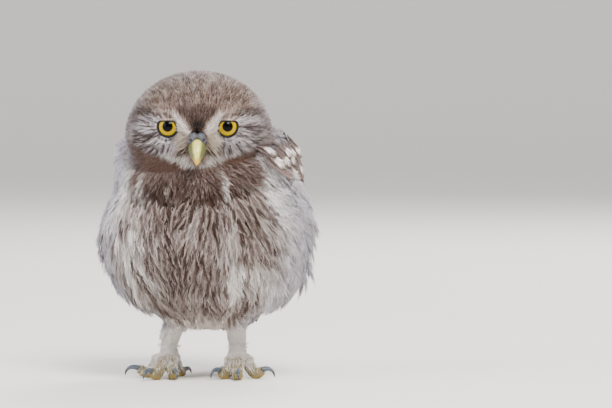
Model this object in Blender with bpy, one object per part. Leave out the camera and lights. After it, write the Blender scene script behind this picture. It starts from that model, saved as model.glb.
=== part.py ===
"""A fledgling little owl, life size, standing still on both feet.

Sizes are in millimetres and are turned to metres where a mesh is made. The bird faces -Y, its left side
is +X and the floor is z = 0. The body is turned a little to the bird's right and the head looks ahead.
"""

import math

import bmesh
import bpy
import numpy as np
from mathutils import Vector

MM = 0.001

# Gaps between neighbouring pieces
GAP = 0.34
WING_GAP = 0.9

# Torso: rows of height, centre behind the middle, half width, reach forward and reach back
TORSO_ROWS = (
    (27.0, 6.0, 0.0, 0.0, 0.0),
    (28.2, 6.0, 15.0, 13.0, 14.0),
    (32.5, 5.0, 30.0, 27.0, 28.0),
    (41.0, 4.0, 44.0, 38.0, 37.0),
    (53.0, 3.0, 52.5, 45.0, 42.0),
    (67.0, 2.0, 56.0, 48.0, 44.5),
    (81.0, 2.0, 55.5, 47.5, 45.0),
    (95.0, 3.0, 52.0, 45.0, 43.5),
    (107.0, 5.0, 50.5, 42.0, 40.5),
    (118.0, 8.0, 49.0, 38.0, 36.5),
    (127.0, 11.0, 45.0, 31.0, 31.0),
    (134.5, 13.0, 34.5, 21.0, 22.5),
    (139.0, 14.0, 17.5, 10.5, 11.5),
    (140.4, 14.0, 0.0, 0.0, 0.0),
)
TORSO_RINGS = 22
TORSO_SIDES = 38
BODY_TURN = math.radians(-12.0)

# Collar: the slanted cut that parts the neck from the torso
COLLAR_FRONT = Vector((0.0, -40.0, 103.0))
COLLAR_BACK = Vector((0.0, 45.0, 121.0))

# Wing: rows of height, angle of the front edge and of the back edge round the body, counted from the breast
WING_ROWS = (
    (36.0, 141.0, 150.0),
    (46.0, 132.0, 157.0),
    (57.0, 120.0, 163.0),
    (70.0, 105.0, 168.0),
    (84.0, 90.0, 170.0),
    (97.0, 76.0, 169.0),
    (109.0, 66.0, 165.0),
    (120.0, 64.0, 156.0),
    (128.0, 74.0, 143.0),
    (133.0, 92.0, 124.0),
)
WING_RECESS = 3.6
WING_CORE_TOP = 131.0
WING_CORE_LOW = 60.0
WING_CORE_THICK = 2.4
WING_TIP_RISE = 5.0
FLANK_SWELL = 2.0
FLANK_TOP = 104.0

# Head: middle of the head, half width, reach forward, back, up and down
HEAD_AT = Vector((-3.4, -4.0, 127.0))
HEAD_HALF_WIDTH = 39.5
HEAD_FRONT = 29.0
HEAD_BACK = 33.0
HEAD_UP = 35.2
HEAD_DOWN = 26.0
HEAD_TRIANGLES = 1500

# Eyes, from the middle of the head
EYE_OUT = 14.9
EYE_UP = 5.7
EYE_FORWARD = 19.3
EYE_RADIUS = 7.2
LID_THICK = 0.8
LID_OPEN = math.radians(45.0)
LID_BROW_DROP = math.radians(7.0)
LID_REACH = math.radians(72.0)
EYE_SPLAY = math.radians(9.0)
EYE_FUNNEL = ((3.0, 7.6), (6.0, 8.0), (12.0, 9.6))

# Bill rows, from the middle of the head: forward, up, half width and half height
BILL_UPPER_ROWS = (
    (24.5, -2.8, 3.6, 4.4),
    (29.6, -2.6, 4.7, 4.9),
    (33.4, -4.2, 4.6, 4.5),
    (36.3, -6.9, 3.7, 3.7),
    (37.9, -9.9, 2.3, 2.4),
    (38.2, -12.4, 1.1, 1.2),
    (37.9, -13.9, 0.35, 0.4),
)
BILL_LOWER_ROWS = (
    (24.0, -7.4, 3.4, 1.8),
    (28.5, -8.2, 4.0, 1.9),
    (32.0, -9.2, 3.2, 1.6),
    (34.5, -10.4, 1.5, 1.0),
)
CERE_ROWS = (
    (24.0, 1.2, 3.4, 3.4),
    (28.3, 1.5, 4.3, 3.0),
    (31.4, 0.6, 4.5, 2.4),
    (33.0, -0.6, 3.9, 1.6),
)
BILL_UP = Vector((0.0, -1.0, 1.0))
NOSTRIL_OUT = 3.3
NOSTRIL_UP = 0.4
NOSTRIL_RADIUS = 0.8

# Tail: where it leaves the rump, its slope below level, feather count, length and width
TAIL_ROOT_HEIGHT = 56.0
TAIL_SLOPE = math.radians(52.0)
TAIL_FEATHERS = 12
TAIL_LENGTH = 39.0
TAIL_FEATHER_WIDTH = 4.4
TAIL_FAN = math.radians(8.5)
TAIL_FLOOR = -1.0
TAIL_SAG = 2.0
TAIL_COVERTS = 3
TAIL_COVERT_LENGTH = 31.0

# Feather shaft's height over its vane
SHAFT_RISE = 0.3

# Legs and feet. side is +1 for the bird's left
LEG_TOP_OUT = 14.5
LEG_TOP_BACK = 4.5
LEG_TOP_HEIGHT = 38.0
ANKLE_HEIGHT = 18.5
FOOT_BACK = 2.5
FOOT_OUT = {1: 16.5, -1: 19.5}
LEG_ROWS = ((0.0, 5.0), (0.3, 5.7), (0.6, 6.9), (1.0, 9.0))
PAD_RADIUS = 5.0
FRONT_TOE_HEIGHTS = (12.0, 10.4, 4.6, 2.2, 4.6)
HIND_TOE_HEIGHTS = (12.0, 8.6, 4.2, 2.2, 2.6)
TOE_RADII = (3.5, 3.3, 3.0, 3.0, 2.5)
TOE_ROOT = 4.3
TOE_LENGTHS = {"hind": 11.5, "inner": 15.5, "middle": 19.0, "outer": 15.5}
TOE_HEADINGS = {
    1: {"hind": -148.0, "inner": -34.0, "middle": 2.0, "outer": 58.0},
    -1: {"hind": 142.0, "inner": 12.0, "middle": -26.0, "outer": -92.0},
}
CLAW_LENGTHS = {"hind": 11.0, "inner": 14.0, "middle": 15.0, "outer": 12.5}
CLAW_RADIUS = 1.8
CLAW_TIP_HEIGHT = 0.35
CLAW_BEND = math.radians(96.0)
CLAW_RUN = 0.68
CLAW_ARCH = 1.9
CLAW_ROOT = 0.8

COLOURS = {
    "crown_down": ((0.235, 0.175, 0.150), 0.95),
    "collar_down": ((0.200, 0.135, 0.105), 0.95),
    "breast_down": ((0.420, 0.380, 0.360), 0.95),
    "wing_vane": ((0.190, 0.130, 0.100), 0.80),
    "tail_vane": ((0.210, 0.150, 0.115), 0.80),
    "leg_down": ((0.720, 0.650, 0.580), 0.95),
    "toe_skin": ((0.400, 0.330, 0.190), 0.70),
    "claw_horn": ((0.050, 0.060, 0.080), 0.30),
    "bill_horn": ((0.560, 0.560, 0.290), 0.35),
    "cere_skin": ((0.200, 0.215, 0.235), 0.50),
    "lid_skin": ((0.020, 0.016, 0.014), 0.50),
    "eye_iris": ((0.830, 0.560, 0.010), 0.10),
}


def clear_scene():
    for obj in list(bpy.data.objects):
        bpy.data.objects.remove(obj, do_unlink=True)


def make_material(name):
    colour, roughness = COLOURS[name]
    material = bpy.data.materials.get(name) or bpy.data.materials.new(name)
    material.use_nodes = True
    shader = material.node_tree.nodes["Principled BSDF"]
    shader.inputs["Base Color"].default_value = (*colour, 1.0)
    shader.inputs["Roughness"].default_value = roughness
    shader.inputs["Metallic"].default_value = 0.0
    return material


def smooth_step(low, high, value):
    share = min(max((value - low) / (high - low), 0.0), 1.0)
    return share * share * (3.0 - 2.0 * share)


def along_rows(rows, place):
    """The smooth curve through the rows, read at a place counted in rows."""
    rows = np.asarray(rows, float)
    place = min(max(place, 0.0), len(rows) - 1.0)
    index = min(int(place), len(rows) - 2)
    share = place - index
    here, after = rows[index], rows[index + 1]
    slope_here = (after - rows[max(index - 1, 0)]) / 2.0
    slope_after = (rows[min(index + 2, len(rows) - 1)] - here) / 2.0
    square, cube = share**2, share**3
    return (
        (2 * cube - 3 * square + 1) * here
        + (cube - 2 * square + share) * slope_here
        + (3 * square - 2 * cube) * after
        + (cube - square) * slope_after
    )


def height_table(rows, steps=400):
    """Columns of the same curve, read often enough to find a row by its height, which rises."""
    last = len(rows) - 1.0
    return np.array([along_rows(rows, last * k / steps) for k in range(steps + 1)]).T


TORSO_TABLE = height_table(TORSO_ROWS)
WING_TABLE = height_table(WING_ROWS)


def at_height(table, height):
    return [float(np.interp(height, table[0], column)) for column in table]


def mesh_object(name, points, faces, material):
    """An object from points in millimetres, closed and with its faces pointing out."""
    mesh = bpy.data.meshes.new(name)
    mesh.from_pydata([Vector(p) * MM for p in points], [], faces)
    obj = bpy.data.objects.new(name, mesh)
    bpy.context.scene.collection.objects.link(obj)
    obj.data.materials.append(make_material(material))
    face_out(obj)
    return obj


def face_out(obj):
    shape = bmesh.new()
    shape.from_mesh(obj.data)
    bmesh.ops.triangulate(shape, faces=shape.faces)
    bmesh.ops.recalc_face_normals(shape, faces=shape.faces)
    if shape.calc_volume(signed=True) < 0.0:
        bmesh.ops.reverse_faces(shape, faces=shape.faces)
    shape.to_mesh(obj.data)
    shape.free()
    obj.data.update()


def ring_faces(first, second, count):
    """Triangles between two rings of the same count that start at the given indices."""
    faces = []
    for i in range(count):
        j = (i + 1) % count
        faces.append((first + i, first + j, second + j))
        faces.append((first + i, second + j, second + i))
    return faces


def lofted(name, rings, material):
    """A closed skin over rings of points. A ring of one point is a pole, and another end is capped flat."""
    points, faces, starts = [], [], []
    for ring in rings:
        starts.append(len(points))
        points.extend(ring)
    for (first, start), second, after in zip(
        zip(rings[:-1], starts[:-1]), starts[1:], rings[1:]
    ):
        if len(first) == 1:
            count = len(after)
            faces += [(start, second + i, second + (i + 1) % count) for i in range(count)]
        elif len(after) == 1:
            count = len(first)
            faces += [(start + i, start + (i + 1) % count, second) for i in range(count)]
        else:
            faces += ring_faces(start, second, len(first))
    for ring, start in ((rings[0], starts[0]), (rings[-1], starts[-1])):
        if len(ring) > 1:
            faces.append(tuple(range(start, start + len(ring))))
    return mesh_object(name, points, faces, material)


def swept(name, rows, sides, material, up=Vector((0.0, 0.0, 1.0)), pointed=False):
    """A round tube along rows of (place, half width, half height). A pointed one ends at its last place."""
    places = [Vector(row[0]) for row in rows]
    rings = []
    for i, (place, half_width, half_height) in enumerate(rows):
        ahead = places[min(i + 1, len(places) - 1)] - places[max(i - 1, 0)]
        across = ahead.cross(up).normalized()
        above = across.cross(ahead).normalized()
        if pointed and i == len(rows) - 1:
            rings.append([Vector(place)])
            continue
        rings.append(
            [
                Vector(place)
                + across * (half_width * math.cos(turn))
                + above * (half_height * math.sin(turn))
                for turn in (math.tau * k / sides for k in range(sides))
            ]
        )
    return lofted(name, rings, material)


def finer_rows(rows, steps):
    """Rows read along the smooth curve through a few given ones, as (place, half width, half height)."""
    table = [(*row[0], row[1], row[2]) for row in rows]
    found = (along_rows(table, (len(rows) - 1) * k / steps) for k in range(steps + 1))
    return [(Vector(row[:3]), max(row[3], 0.05), max(row[4], 0.05)) for row in found]


def apply_modifiers(obj):
    bpy.context.view_layer.update()
    graph = bpy.context.evaluated_depsgraph_get()
    mesh = bpy.data.meshes.new_from_object(obj.evaluated_get(graph))
    material = obj.data.materials[0]
    obj.modifiers.clear()
    obj.data = mesh
    mesh.materials.clear()
    mesh.materials.append(material)


def cut_away(obj, cutter, solver="EXACT"):
    modifier = obj.modifiers.new("cut", "BOOLEAN")
    modifier.operation = "DIFFERENCE"
    modifier.solver = solver
    modifier.object = cutter
    apply_modifiers(obj)
    keep_largest(obj)


def fuse(obj, pieces, solver="MANIFOLD"):
    """Joins the pieces to obj in one Boolean union and removes them."""
    group = bpy.data.collections.new(obj.name + "_pieces")
    for piece in pieces:
        group.objects.link(piece)
    modifier = obj.modifiers.new("fuse", "BOOLEAN")
    modifier.operation = "UNION"
    modifier.solver = solver
    modifier.operand_type = "COLLECTION"
    modifier.collection = group
    apply_modifiers(obj)
    for piece in pieces:
        bpy.data.objects.remove(piece, do_unlink=True)
    bpy.data.collections.remove(group)
    keep_largest(obj)


def islands(shape):
    """Groups of faces that share edges."""
    unseen = set(shape.faces)
    while unseen:
        group, edge = set(), [unseen.pop()]
        while edge:
            face = edge.pop()
            group.add(face)
            for loop_edge in face.edges:
                for other in loop_edge.link_faces:
                    if other in unseen:
                        unseen.remove(other)
                        edge.append(other)
        yield group


def enclosed(faces):
    """Volume inside triangles, as the sum of tetrahedra to the origin."""
    return abs(
        sum(f.verts[0].co.dot(f.verts[1].co.cross(f.verts[2].co)) for f in faces) / 6.0
    )


def keep_largest(obj):
    """Drops every closed surface but the largest."""
    shape = bmesh.new()
    shape.from_mesh(obj.data)
    bmesh.ops.triangulate(shape, faces=shape.faces)
    groups = sorted(islands(shape), key=enclosed)
    scraps = [face for group in groups[:-1] for face in group]
    bmesh.ops.delete(shape, geom=scraps, context="FACES")
    loose = [v for v in shape.verts if not v.link_faces]
    bmesh.ops.delete(shape, geom=loose, context="VERTS")
    shape.to_mesh(obj.data)
    shape.free()


def grown(obj, distance, name="cutter"):
    """A helper copy of obj whose surface lies that much further out."""
    copy = bpy.data.objects.new(name, obj.data.copy())
    bpy.context.scene.collection.objects.link(copy)
    shape = bmesh.new()
    shape.from_mesh(copy.data)
    shape.normal_update()
    for vertex in shape.verts:
        vertex.co += vertex.normal * (distance * MM)
    shape.to_mesh(copy.data)
    shape.free()
    copy.hide_render = True
    copy.display_type = "WIRE"
    return copy


def remove(*objects):
    for obj in objects:
        bpy.data.objects.remove(obj, do_unlink=True)


def sliced(obj, place, normal):
    """Cuts obj flat by a plane and keeps the side away from the normal."""
    shape = bmesh.new()
    shape.from_mesh(obj.data)
    cut = bmesh.ops.bisect_plane(
        shape,
        geom=[*shape.verts, *shape.edges, *shape.faces],
        dist=1e-7,
        plane_co=Vector(place) * MM,
        plane_no=normal,
        clear_outer=True,
    )
    edges = [g for g in cut["geom_cut"] if isinstance(g, bmesh.types.BMEdge)]
    bmesh.ops.contextual_create(shape, geom=edges)
    bmesh.ops.triangulate(shape, faces=shape.faces)
    shape.to_mesh(obj.data)
    shape.free()
    face_out(obj)


def turned(point):
    """A body point turned about the upright axis by the body's turn."""
    x, y, z = point
    c, s = math.cos(BODY_TURN), math.sin(BODY_TURN)
    return Vector((x * c - y * s, x * s + y * c, z))


def wing_edges(height):
    """Angles of the wing's front and back edges at this height, in degrees."""
    low, high = WING_ROWS[0][0], WING_ROWS[-1][0]
    _, lead, trail = at_height(WING_TABLE, min(max(height, low), high))
    return lead, trail


def torso_swell(angle, height):
    """How far the coat stands out from the plain body: less under the wing, more on the flank."""
    lead, trail = wing_edges(height)
    round_body = abs(math.degrees(angle))
    beside = smooth_step(lead - 3.0, lead + 5.0, round_body)
    beside *= 1.0 - smooth_step(trail - 2.0, trail + 7.0, round_body)
    beside *= smooth_step(44.0, 66.0, height) * (1.0 - smooth_step(126.0, 136.0, height))
    flank = math.exp(-(((round_body - lead + 17.0) / 13.0) ** 2))
    flank *= smooth_step(36.0, 58.0, height) * (1.0 - smooth_step(88.0, FLANK_TOP, height))
    return FLANK_SWELL * flank - WING_RECESS * beside


def torso_ring_point(row, angle):
    """A point of the torso, at an angle round it from the breast, positive towards the bird's left."""
    height, centre, half_width, ahead, behind = row
    reach = ahead if math.cos(angle) > 0.0 else behind
    out = Vector((math.sin(angle), -math.cos(angle), 0.0))
    point = Vector((half_width * out.x, centre + reach * out.y, height))
    share = min(half_width / 20.0, 1.0)
    return turned(point + out * (torso_swell(angle, height) * share))


def torso_point(angle, height):
    return torso_ring_point(at_height(TORSO_TABLE, height), angle)


def torso_normal(angle, height):
    step = 0.02
    round_way = torso_point(angle + step, height) - torso_point(angle - step, height)
    up_way = torso_point(angle, height + 1.0) - torso_point(angle, height - 1.0)
    return round_way.cross(up_way).normalized()


def torso_blank():
    """The whole trunk, with the neck still on it."""
    rings = []
    last = len(TORSO_ROWS) - 1.0
    for k in range(TORSO_RINGS + 1):
        row = along_rows(TORSO_ROWS, last * k / TORSO_RINGS)
        if k in (0, TORSO_RINGS):
            rings.append([turned((0.0, row[1], row[0]))])
            continue
        angles = (math.tau * (i + 0.5 * (k % 2)) / TORSO_SIDES for i in range(TORSO_SIDES))
        rings.append([torso_ring_point(row, a - math.tau * (a > math.pi)) for a in angles])
    return lofted("torso", rings, "breast_down")


def near_segment(x, z, start, end, width):
    """1 on a line between two places of the face and 0 far from it."""
    line = Vector(end) - Vector(start)
    offset = Vector((x, z)) - Vector(start)
    share = min(max(offset.dot(line) / line.length_squared, 0.0), 1.0)
    return math.exp(-((offset - line * share).length_squared) / width**2)


def face_relief(x, z):
    """How far the face stands forward of the plain head, from the middle of the head."""
    out = abs(x)
    eye = ((out - EYE_OUT) / 9.5) ** 2 + ((z - EYE_UP) / 7.5) ** 2
    relief = -2.3 * math.exp(-eye)
    relief += 2.5 * near_segment(out, z, (2.5, 3.0), (25.0, 14.5), 3.4)
    relief += 1.8 * near_segment(out, z, (0.0, -2.0), (0.0, 11.0), 4.2)
    relief += 1.7 * near_segment(out, z, (7.5, -7.5), (24.0, -8.5), 4.6)
    rim = math.hypot((out - 15.0) / 17.5, (z + 1.0) / 15.5) - 1.0
    relief += 1.5 * math.exp(-((rim / 0.12) ** 2)) * smooth_step(20.0, 27.0, out)
    relief += 1.4 * near_segment(out, z, (0.0, -17.0), (9.0, -15.5), 5.0)
    return relief


def head_point(azimuth, elevation):
    level = math.cos(elevation)
    way = Vector((math.sin(azimuth) * level, -math.cos(azimuth) * level, math.sin(elevation)))
    deep = HEAD_FRONT if way.y < 0.0 else HEAD_BACK
    tall = HEAD_UP if way.z > 0.0 else HEAD_DOWN
    scale = math.sqrt((way.x / HEAD_HALF_WIDTH) ** 2 + (way.y / deep) ** 2 + (way.z / tall) ** 2)
    point = way / scale
    point.y -= face_relief(point.x, point.z) * smooth_step(5.0, 17.0, -point.y)
    return point + HEAD_AT


def head_blank():
    """The head before its sockets are cut, thinned to the triangles that its relief needs."""
    rings = [[head_point(0.0, -math.pi / 2)]]
    steps, sides = 44, 96
    for k in range(1, steps):
        elevation = math.pi * (k / steps - 0.5)
        rings.append([head_point(math.tau * i / sides, elevation) for i in range(sides)])
    rings.append([head_point(0.0, math.pi / 2)])
    head = lofted("head", rings, "crown_down")
    thin = head.modifiers.new("thin", "DECIMATE")
    thin.ratio = HEAD_TRIANGLES / len(head.data.polygons)
    apply_modifiers(head)
    return head


def head_place(x, forward, up):
    return HEAD_AT + Vector((x, -forward, up))


def eye_axis(side):
    return Vector((side * math.sin(EYE_SPLAY), -math.cos(EYE_SPLAY), 0.0))


def eyeball(side, radius, name):
    """A ball of rings round the eye's own axis."""
    steps, sides = 8, 14
    centre = head_place(side * EYE_OUT, EYE_FORWARD, EYE_UP)
    axis = eye_axis(side)
    across = axis.cross(Vector((0.0, 0.0, 1.0))).normalized()
    above = across.cross(axis)
    rings = [[centre + axis * radius]]
    for k in range(1, steps):
        polar = math.pi * (k / steps) ** 1.15
        ring = []
        for i in range(sides):
            turn = math.tau * i / sides
            round_way = across * math.cos(turn) + above * math.sin(turn)
            ring.append(centre + (axis * math.cos(polar) + round_way * math.sin(polar)) * radius)
        rings.append(ring)
    rings.append([centre - axis * radius])
    return lofted(name, rings, "eye_iris")


def eyelids(side):
    """Both lids as one ring of skin over the eyeball, lower at the brow, with a rounded rim."""
    centre = head_place(side * EYE_OUT, EYE_FORWARD, EYE_UP)
    axis = eye_axis(side)
    across = axis.cross(Vector((0.0, 0.0, 1.0))).normalized()
    above = across.cross(axis)
    inner = EYE_RADIUS + GAP
    sides = 20
    points, faces = [], []
    profile = ((0.0, 0.0), (0.0, 0.75), (0.15, 1.0), (1.0, 1.0), (1.0, 0.0))
    for i in range(sides):
        turn = math.tau * i / sides
        round_way = across * math.cos(turn) + above * math.sin(turn)
        brow = math.exp(-(((turn - math.radians(90.0 + side * 28.0)) / 0.75) ** 2))
        rim = LID_OPEN - LID_BROW_DROP * brow
        for along, out in profile:
            polar = rim + (LID_REACH - rim) * along
            radius = inner + LID_THICK * out
            points.append(centre + (axis * math.cos(polar) + round_way * math.sin(polar)) * radius)
    count = len(profile)
    for i in range(sides):
        faces += ring_faces(i * count, (i + 1) % sides * count, count)
    return mesh_object("eyelids_" + side_name(side), points, faces, "lid_skin")


def side_name(side):
    return "left" if side > 0 else "right"


def bill_piece(name, rows, sides, steps, material):
    table = [(head_place(0.0, ahead, up), wide, tall) for ahead, up, wide, tall in rows]
    return swept(name, finer_rows(table, steps), sides, material, up=BILL_UP)


def make_bill():
    """Cere with its nostrils and the two mandibles. Returns the room each takes in the head."""
    upper = bill_piece("bill_upper", BILL_UPPER_ROWS, 10, 9, "bill_horn")
    cere = bill_piece("cere", CERE_ROWS, 10, 4, "cere_skin")
    lower = bill_piece("bill_lower", BILL_LOWER_ROWS, 8, 4, "bill_horn")
    rooms = [grown(piece, GAP) for piece in (upper, cere, lower)]
    cut_away(cere, rooms[0])
    cut_away(lower, rooms[0])
    for side in (1, -1):
        start = head_place(side * (NOSTRIL_OUT - 1.2), 28.0, NOSTRIL_UP)
        end = head_place(side * (NOSTRIL_OUT + 1.6), 36.0, NOSTRIL_UP + 0.3)
        rows = [(start, NOSTRIL_RADIUS, NOSTRIL_RADIUS), (end, NOSTRIL_RADIUS, NOSTRIL_RADIUS)]
        hole = swept("nostril", rows, 6, "lid_skin")
        cut_away(cere, hole)
        remove(hole)
    return rooms


def wing_point(side, height, share, lift):
    """A point over the body, at a height and a share of the way from the wing's front to its back edge."""
    lead, trail = wing_edges(height)
    angle = side * math.radians(lead + (trail - lead) * share)
    return torso_point(angle, height) + torso_normal(angle, height) * lift


def wing_core(side):
    """The flesh and small feathers of the folded wing, a slab that follows the body."""
    rows, columns = 12, 6
    points = []
    for k in range(rows + 1):
        height = WING_CORE_LOW + (WING_CORE_TOP - WING_CORE_LOW) * k / rows
        for i in range(columns + 1):
            share = i / columns
            edge = min(1.0, 5.0 * share, 5.0 * (1.0 - share), 4.0 * (1.0 - k / rows), 3.0 * k / rows)
            thick = 0.9 + (WING_CORE_THICK - 0.9) * smooth_step(0.0, 1.0, edge)
            points.append(wing_point(side, height, share, WING_GAP + thick))
            points.append(wing_point(side, height, share, WING_GAP))

    def corner(k, i, inner):
        return 2 * (k * (columns + 1) + i) + inner

    faces = []
    for k in range(rows):
        for i in range(columns):
            for inner in (0, 1):
                a, b = corner(k, i, inner), corner(k, i + 1, inner)
                c, d = corner(k + 1, i + 1, inner), corner(k + 1, i, inner)
                faces += [(a, b, c), (a, c, d)]
    rim = [(k, 0) for k in range(rows)] + [(rows, i) for i in range(columns)]
    rim += [(rows - k, columns) for k in range(rows)] + [(0, columns - i) for i in range(columns)]
    for (k, i), (m, j) in zip(rim, rim[1:] + rim[:1]):
        a, b = corner(k, i, 0), corner(m, j, 0)
        c, d = corner(m, j, 1), corner(k, i, 1)
        faces += [(a, b, c), (a, c, d)]
    return mesh_object("wing_" + side_name(side), points, faces, "wing_vane")


VANE_SHAPE = ((0.0, 0.62), (0.42, 1.0), (0.8, 0.86), (0.95, 0.48), (1.0, 0.12))
COVERT_SHAPE = ((0.0, 0.7), (0.5, 1.0), (0.88, 0.66), (1.0, 0.14))


def vane(frames, half_width, shape, tilt, shaft=0.0):
    """One feather, raised along its shaft if it has one.

    frames gives, along it, the place of its upper face, its side way and up way, and how deep it reaches.
    """
    points, faces = [], []
    for share, wide in shape:
        place, across, above, depth = frames(share)
        half = half_width * wide
        lean = above * (tilt * wide)
        left = place - across * half - lean
        right = place + across * half + lean
        ridge = [place + above * shaft] if shaft else []
        points += [left, *ridge, right, right - above * depth - lean, left - above * depth + lean]
    count = len(points) // len(shape)
    for k in range(len(shape) - 1):
        here, after = k * count, (k + 1) * count
        for i in range(count):
            j = (i + 1) % count
            if i == count - 2:
                faces += [(here + i, here + j, after + i), (here + j, after + j, after + i)]
            else:
                faces += [(here + i, here + j, after + j), (here + i, after + j, after + i)]
    faces += [tuple(range(count)), tuple(range(len(points) - count, len(points)))]
    return mesh_object("vane", points, faces, "wing_vane")


def wing_floor(height):
    """Lift of the feathers' inner side: inside the core, and standing off the body towards the wing tip."""
    return WING_GAP + 0.4 + WING_TIP_RISE * (1.0 - smooth_step(42.0, WING_CORE_LOW + 3.0, height))


def wing_vane(side, root, tip, half_width, lift, rise, tilt=0.35, shape=COVERT_SHAPE, shaft=0.0):
    """A feather on the wing, from a root to a tip given as (height, share), rising over its inner side."""

    def spot(share):
        return root[0] + (tip[0] - root[0]) * share, root[1] + (tip[1] - root[1]) * share

    def place_at(share):
        height, across = spot(share)
        return wing_point(side, height, across, wing_floor(height) + lift + rise * share)

    def frames(share):
        height, over = spot(share)
        lead, trail = wing_edges(height)
        angle = side * math.radians(lead + (trail - lead) * over)
        ahead = (place_at(share + 0.04) - place_at(share - 0.04)).normalized()
        across = torso_normal(angle, height).cross(ahead).normalized() * side
        above = across.cross(ahead).normalized() * side
        return place_at(share), across, above, lift + rise * share

    return vane(frames, half_width, shape, tilt, shaft)


# Tiers of coverts: count, root height at the front and back edge, share range, length, half width
COVERT_TIERS = (
    (4, (121.5, 127.0), (0.14, 0.80), 13.0, 5.6),
    (5, (112.0, 121.0), (0.08, 0.86), 15.0, 5.4),
    (6, (100.0, 111.0), (0.07, 0.88), 19.0, 5.2),
)
COVERT_LIFT = 1.8
COVERT_RISE = 1.5
SECONDARIES = 5
PRIMARIES = 5
SCAPULARS = 4


def make_wing(side):
    """Folded wing: coverts in tiers, secondaries under them and primaries stepping out to the tip."""
    core = wing_core(side)
    vanes = []
    for k in range(PRIMARIES):
        share = k / (PRIMARIES - 1.0)
        root = (84.0 - 3.0 * share, 0.16 + 0.24 * share)
        tip = (58.0 - 17.0 * share, 0.22 + 0.36 * share)
        vanes.append(wing_vane(side, root, tip, 4.4, 1.0 + 0.3 * k, -0.2, 0.2, VANE_SHAPE, SHAFT_RISE))
    for k in range(SECONDARIES):
        share = k / (SECONDARIES - 1.0)
        root = (90.0 + 6.0 * share, 0.34 + 0.5 * share)
        tip = (61.0 + 4.5 * share, 0.44 + 0.42 * share)
        vanes.append(wing_vane(side, root, tip, 5.0, 1.9, 1.2, 0.35, VANE_SHAPE, SHAFT_RISE))
    for count, heights, shares, length, half_width in COVERT_TIERS:
        for k in range(count):
            share = k / (count - 1.0)
            across = shares[0] + (shares[1] - shares[0]) * share
            top = heights[0] + (heights[1] - heights[0]) * share
            tip = (top - length, across + 0.02)
            vanes.append(wing_vane(side, (top, across), tip, half_width, COVERT_LIFT, COVERT_RISE))
    for k in range(SCAPULARS):
        top = 124.0 - 9.5 * k
        vanes.append(wing_vane(side, (top, 0.90), (top - 17.0, 0.93), 5.2, 1.9, 2.0, 0.3))
    fuse(core, vanes)
    return core


def tail_frame():
    """Where the tail leaves the rump, and its ways along, across and up."""
    along = Vector((0.0, math.cos(TAIL_SLOPE), -math.sin(TAIL_SLOPE)))
    above = Vector((0.0, math.sin(TAIL_SLOPE), math.cos(TAIL_SLOPE)))
    root = torso_point(math.pi, TAIL_ROOT_HEIGHT)
    return root, turned(along), turned(Vector((1.0, 0.0, 0.0))), turned(above)


def tail_vane(root, heading, ways, length, half_width, lift, floor):
    """A feather of the tail that leaves the root at a small angle, its underside at the floor."""
    along, across, above = ways
    way = along * math.cos(heading) + across * math.sin(heading)
    beside = across * math.cos(heading) - along * math.sin(heading)

    def frames(share):
        sag = above * (TAIL_SAG * share * share)
        return root + way * (length * share) + above * lift - sag, beside, above, lift - floor

    return vane(frames, half_width, VANE_SHAPE, 0.2 if heading >= 0.0 else -0.2, SHAFT_RISE)


def make_tail(trunk):
    """Rump, twelve tail feathers that close over one another, and short coverts above and below."""
    root, along, across, above = tail_frame()
    start = root - along * 12.0 - above * 3.0
    core_rows = [
        (start, 11.5, 7.5),
        (start + along * 11.0, 12.0, 6.6),
        (start + along * 19.0, 10.5, 4.4),
        (start + along * 27.0, 7.0, 1.6),
    ]
    tail = swept("tail", finer_rows(core_rows, 5), 12, "tail_vane", up=above)
    vanes = []
    middle = (TAIL_FEATHERS - 1) / 2.0
    ways = (along, across, above)
    for k in range(TAIL_FEATHERS):
        place = k - middle
        outer = abs(place) / middle
        base = start + across * (place * 1.15)
        length = TAIL_LENGTH + 12.0 - 4.0 * outer**2
        lift = 0.9 - 0.22 * abs(place)
        vanes.append(
            tail_vane(base, TAIL_FAN * place / middle, ways, length, TAIL_FEATHER_WIDTH, lift, TAIL_FLOOR)
        )
    for level in (1.0, -1.0):
        for k in range(TAIL_COVERTS):
            place = k - (TAIL_COVERTS - 1) / 2.0
            base = start + across * (place * 5.0)
            length = TAIL_COVERT_LENGTH - 2.2 * abs(place)
            lift = 3.4 - 0.6 * abs(place)
            flipped = (along, across, above * level)
            vanes.append(tail_vane(base, TAIL_FAN * place * 0.4, flipped, length, 5.0, lift, -0.3))
    fuse(tail, vanes)
    spare = grown(trunk, GAP)
    cut_away(tail, spare, "MANIFOLD")
    remove(spare)
    return tail


def foot_centre(side):
    return Vector((side * FOOT_OUT[side], FOOT_BACK, 0.0))


def make_leg(side, trunk):
    """Downy leg from the belly to the ankle, cut to meet the belly."""
    ankle = foot_centre(side) + Vector((0.0, 1.5, ANKLE_HEIGHT))
    top = Vector((side * LEG_TOP_OUT, LEG_TOP_BACK, LEG_TOP_HEIGHT))
    rows = [(ankle + (top - ankle) * share, wide, wide * 1.05) for share, wide in LEG_ROWS]
    leg = swept(
        "leg_" + side_name(side),
        finer_rows(rows, 6),
        14,
        "leg_down",
        up=Vector((0.0, -1.0, 0.0)),
    )
    spare = grown(trunk, GAP)
    cut_away(leg, spare)
    remove(spare)
    return leg


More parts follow.
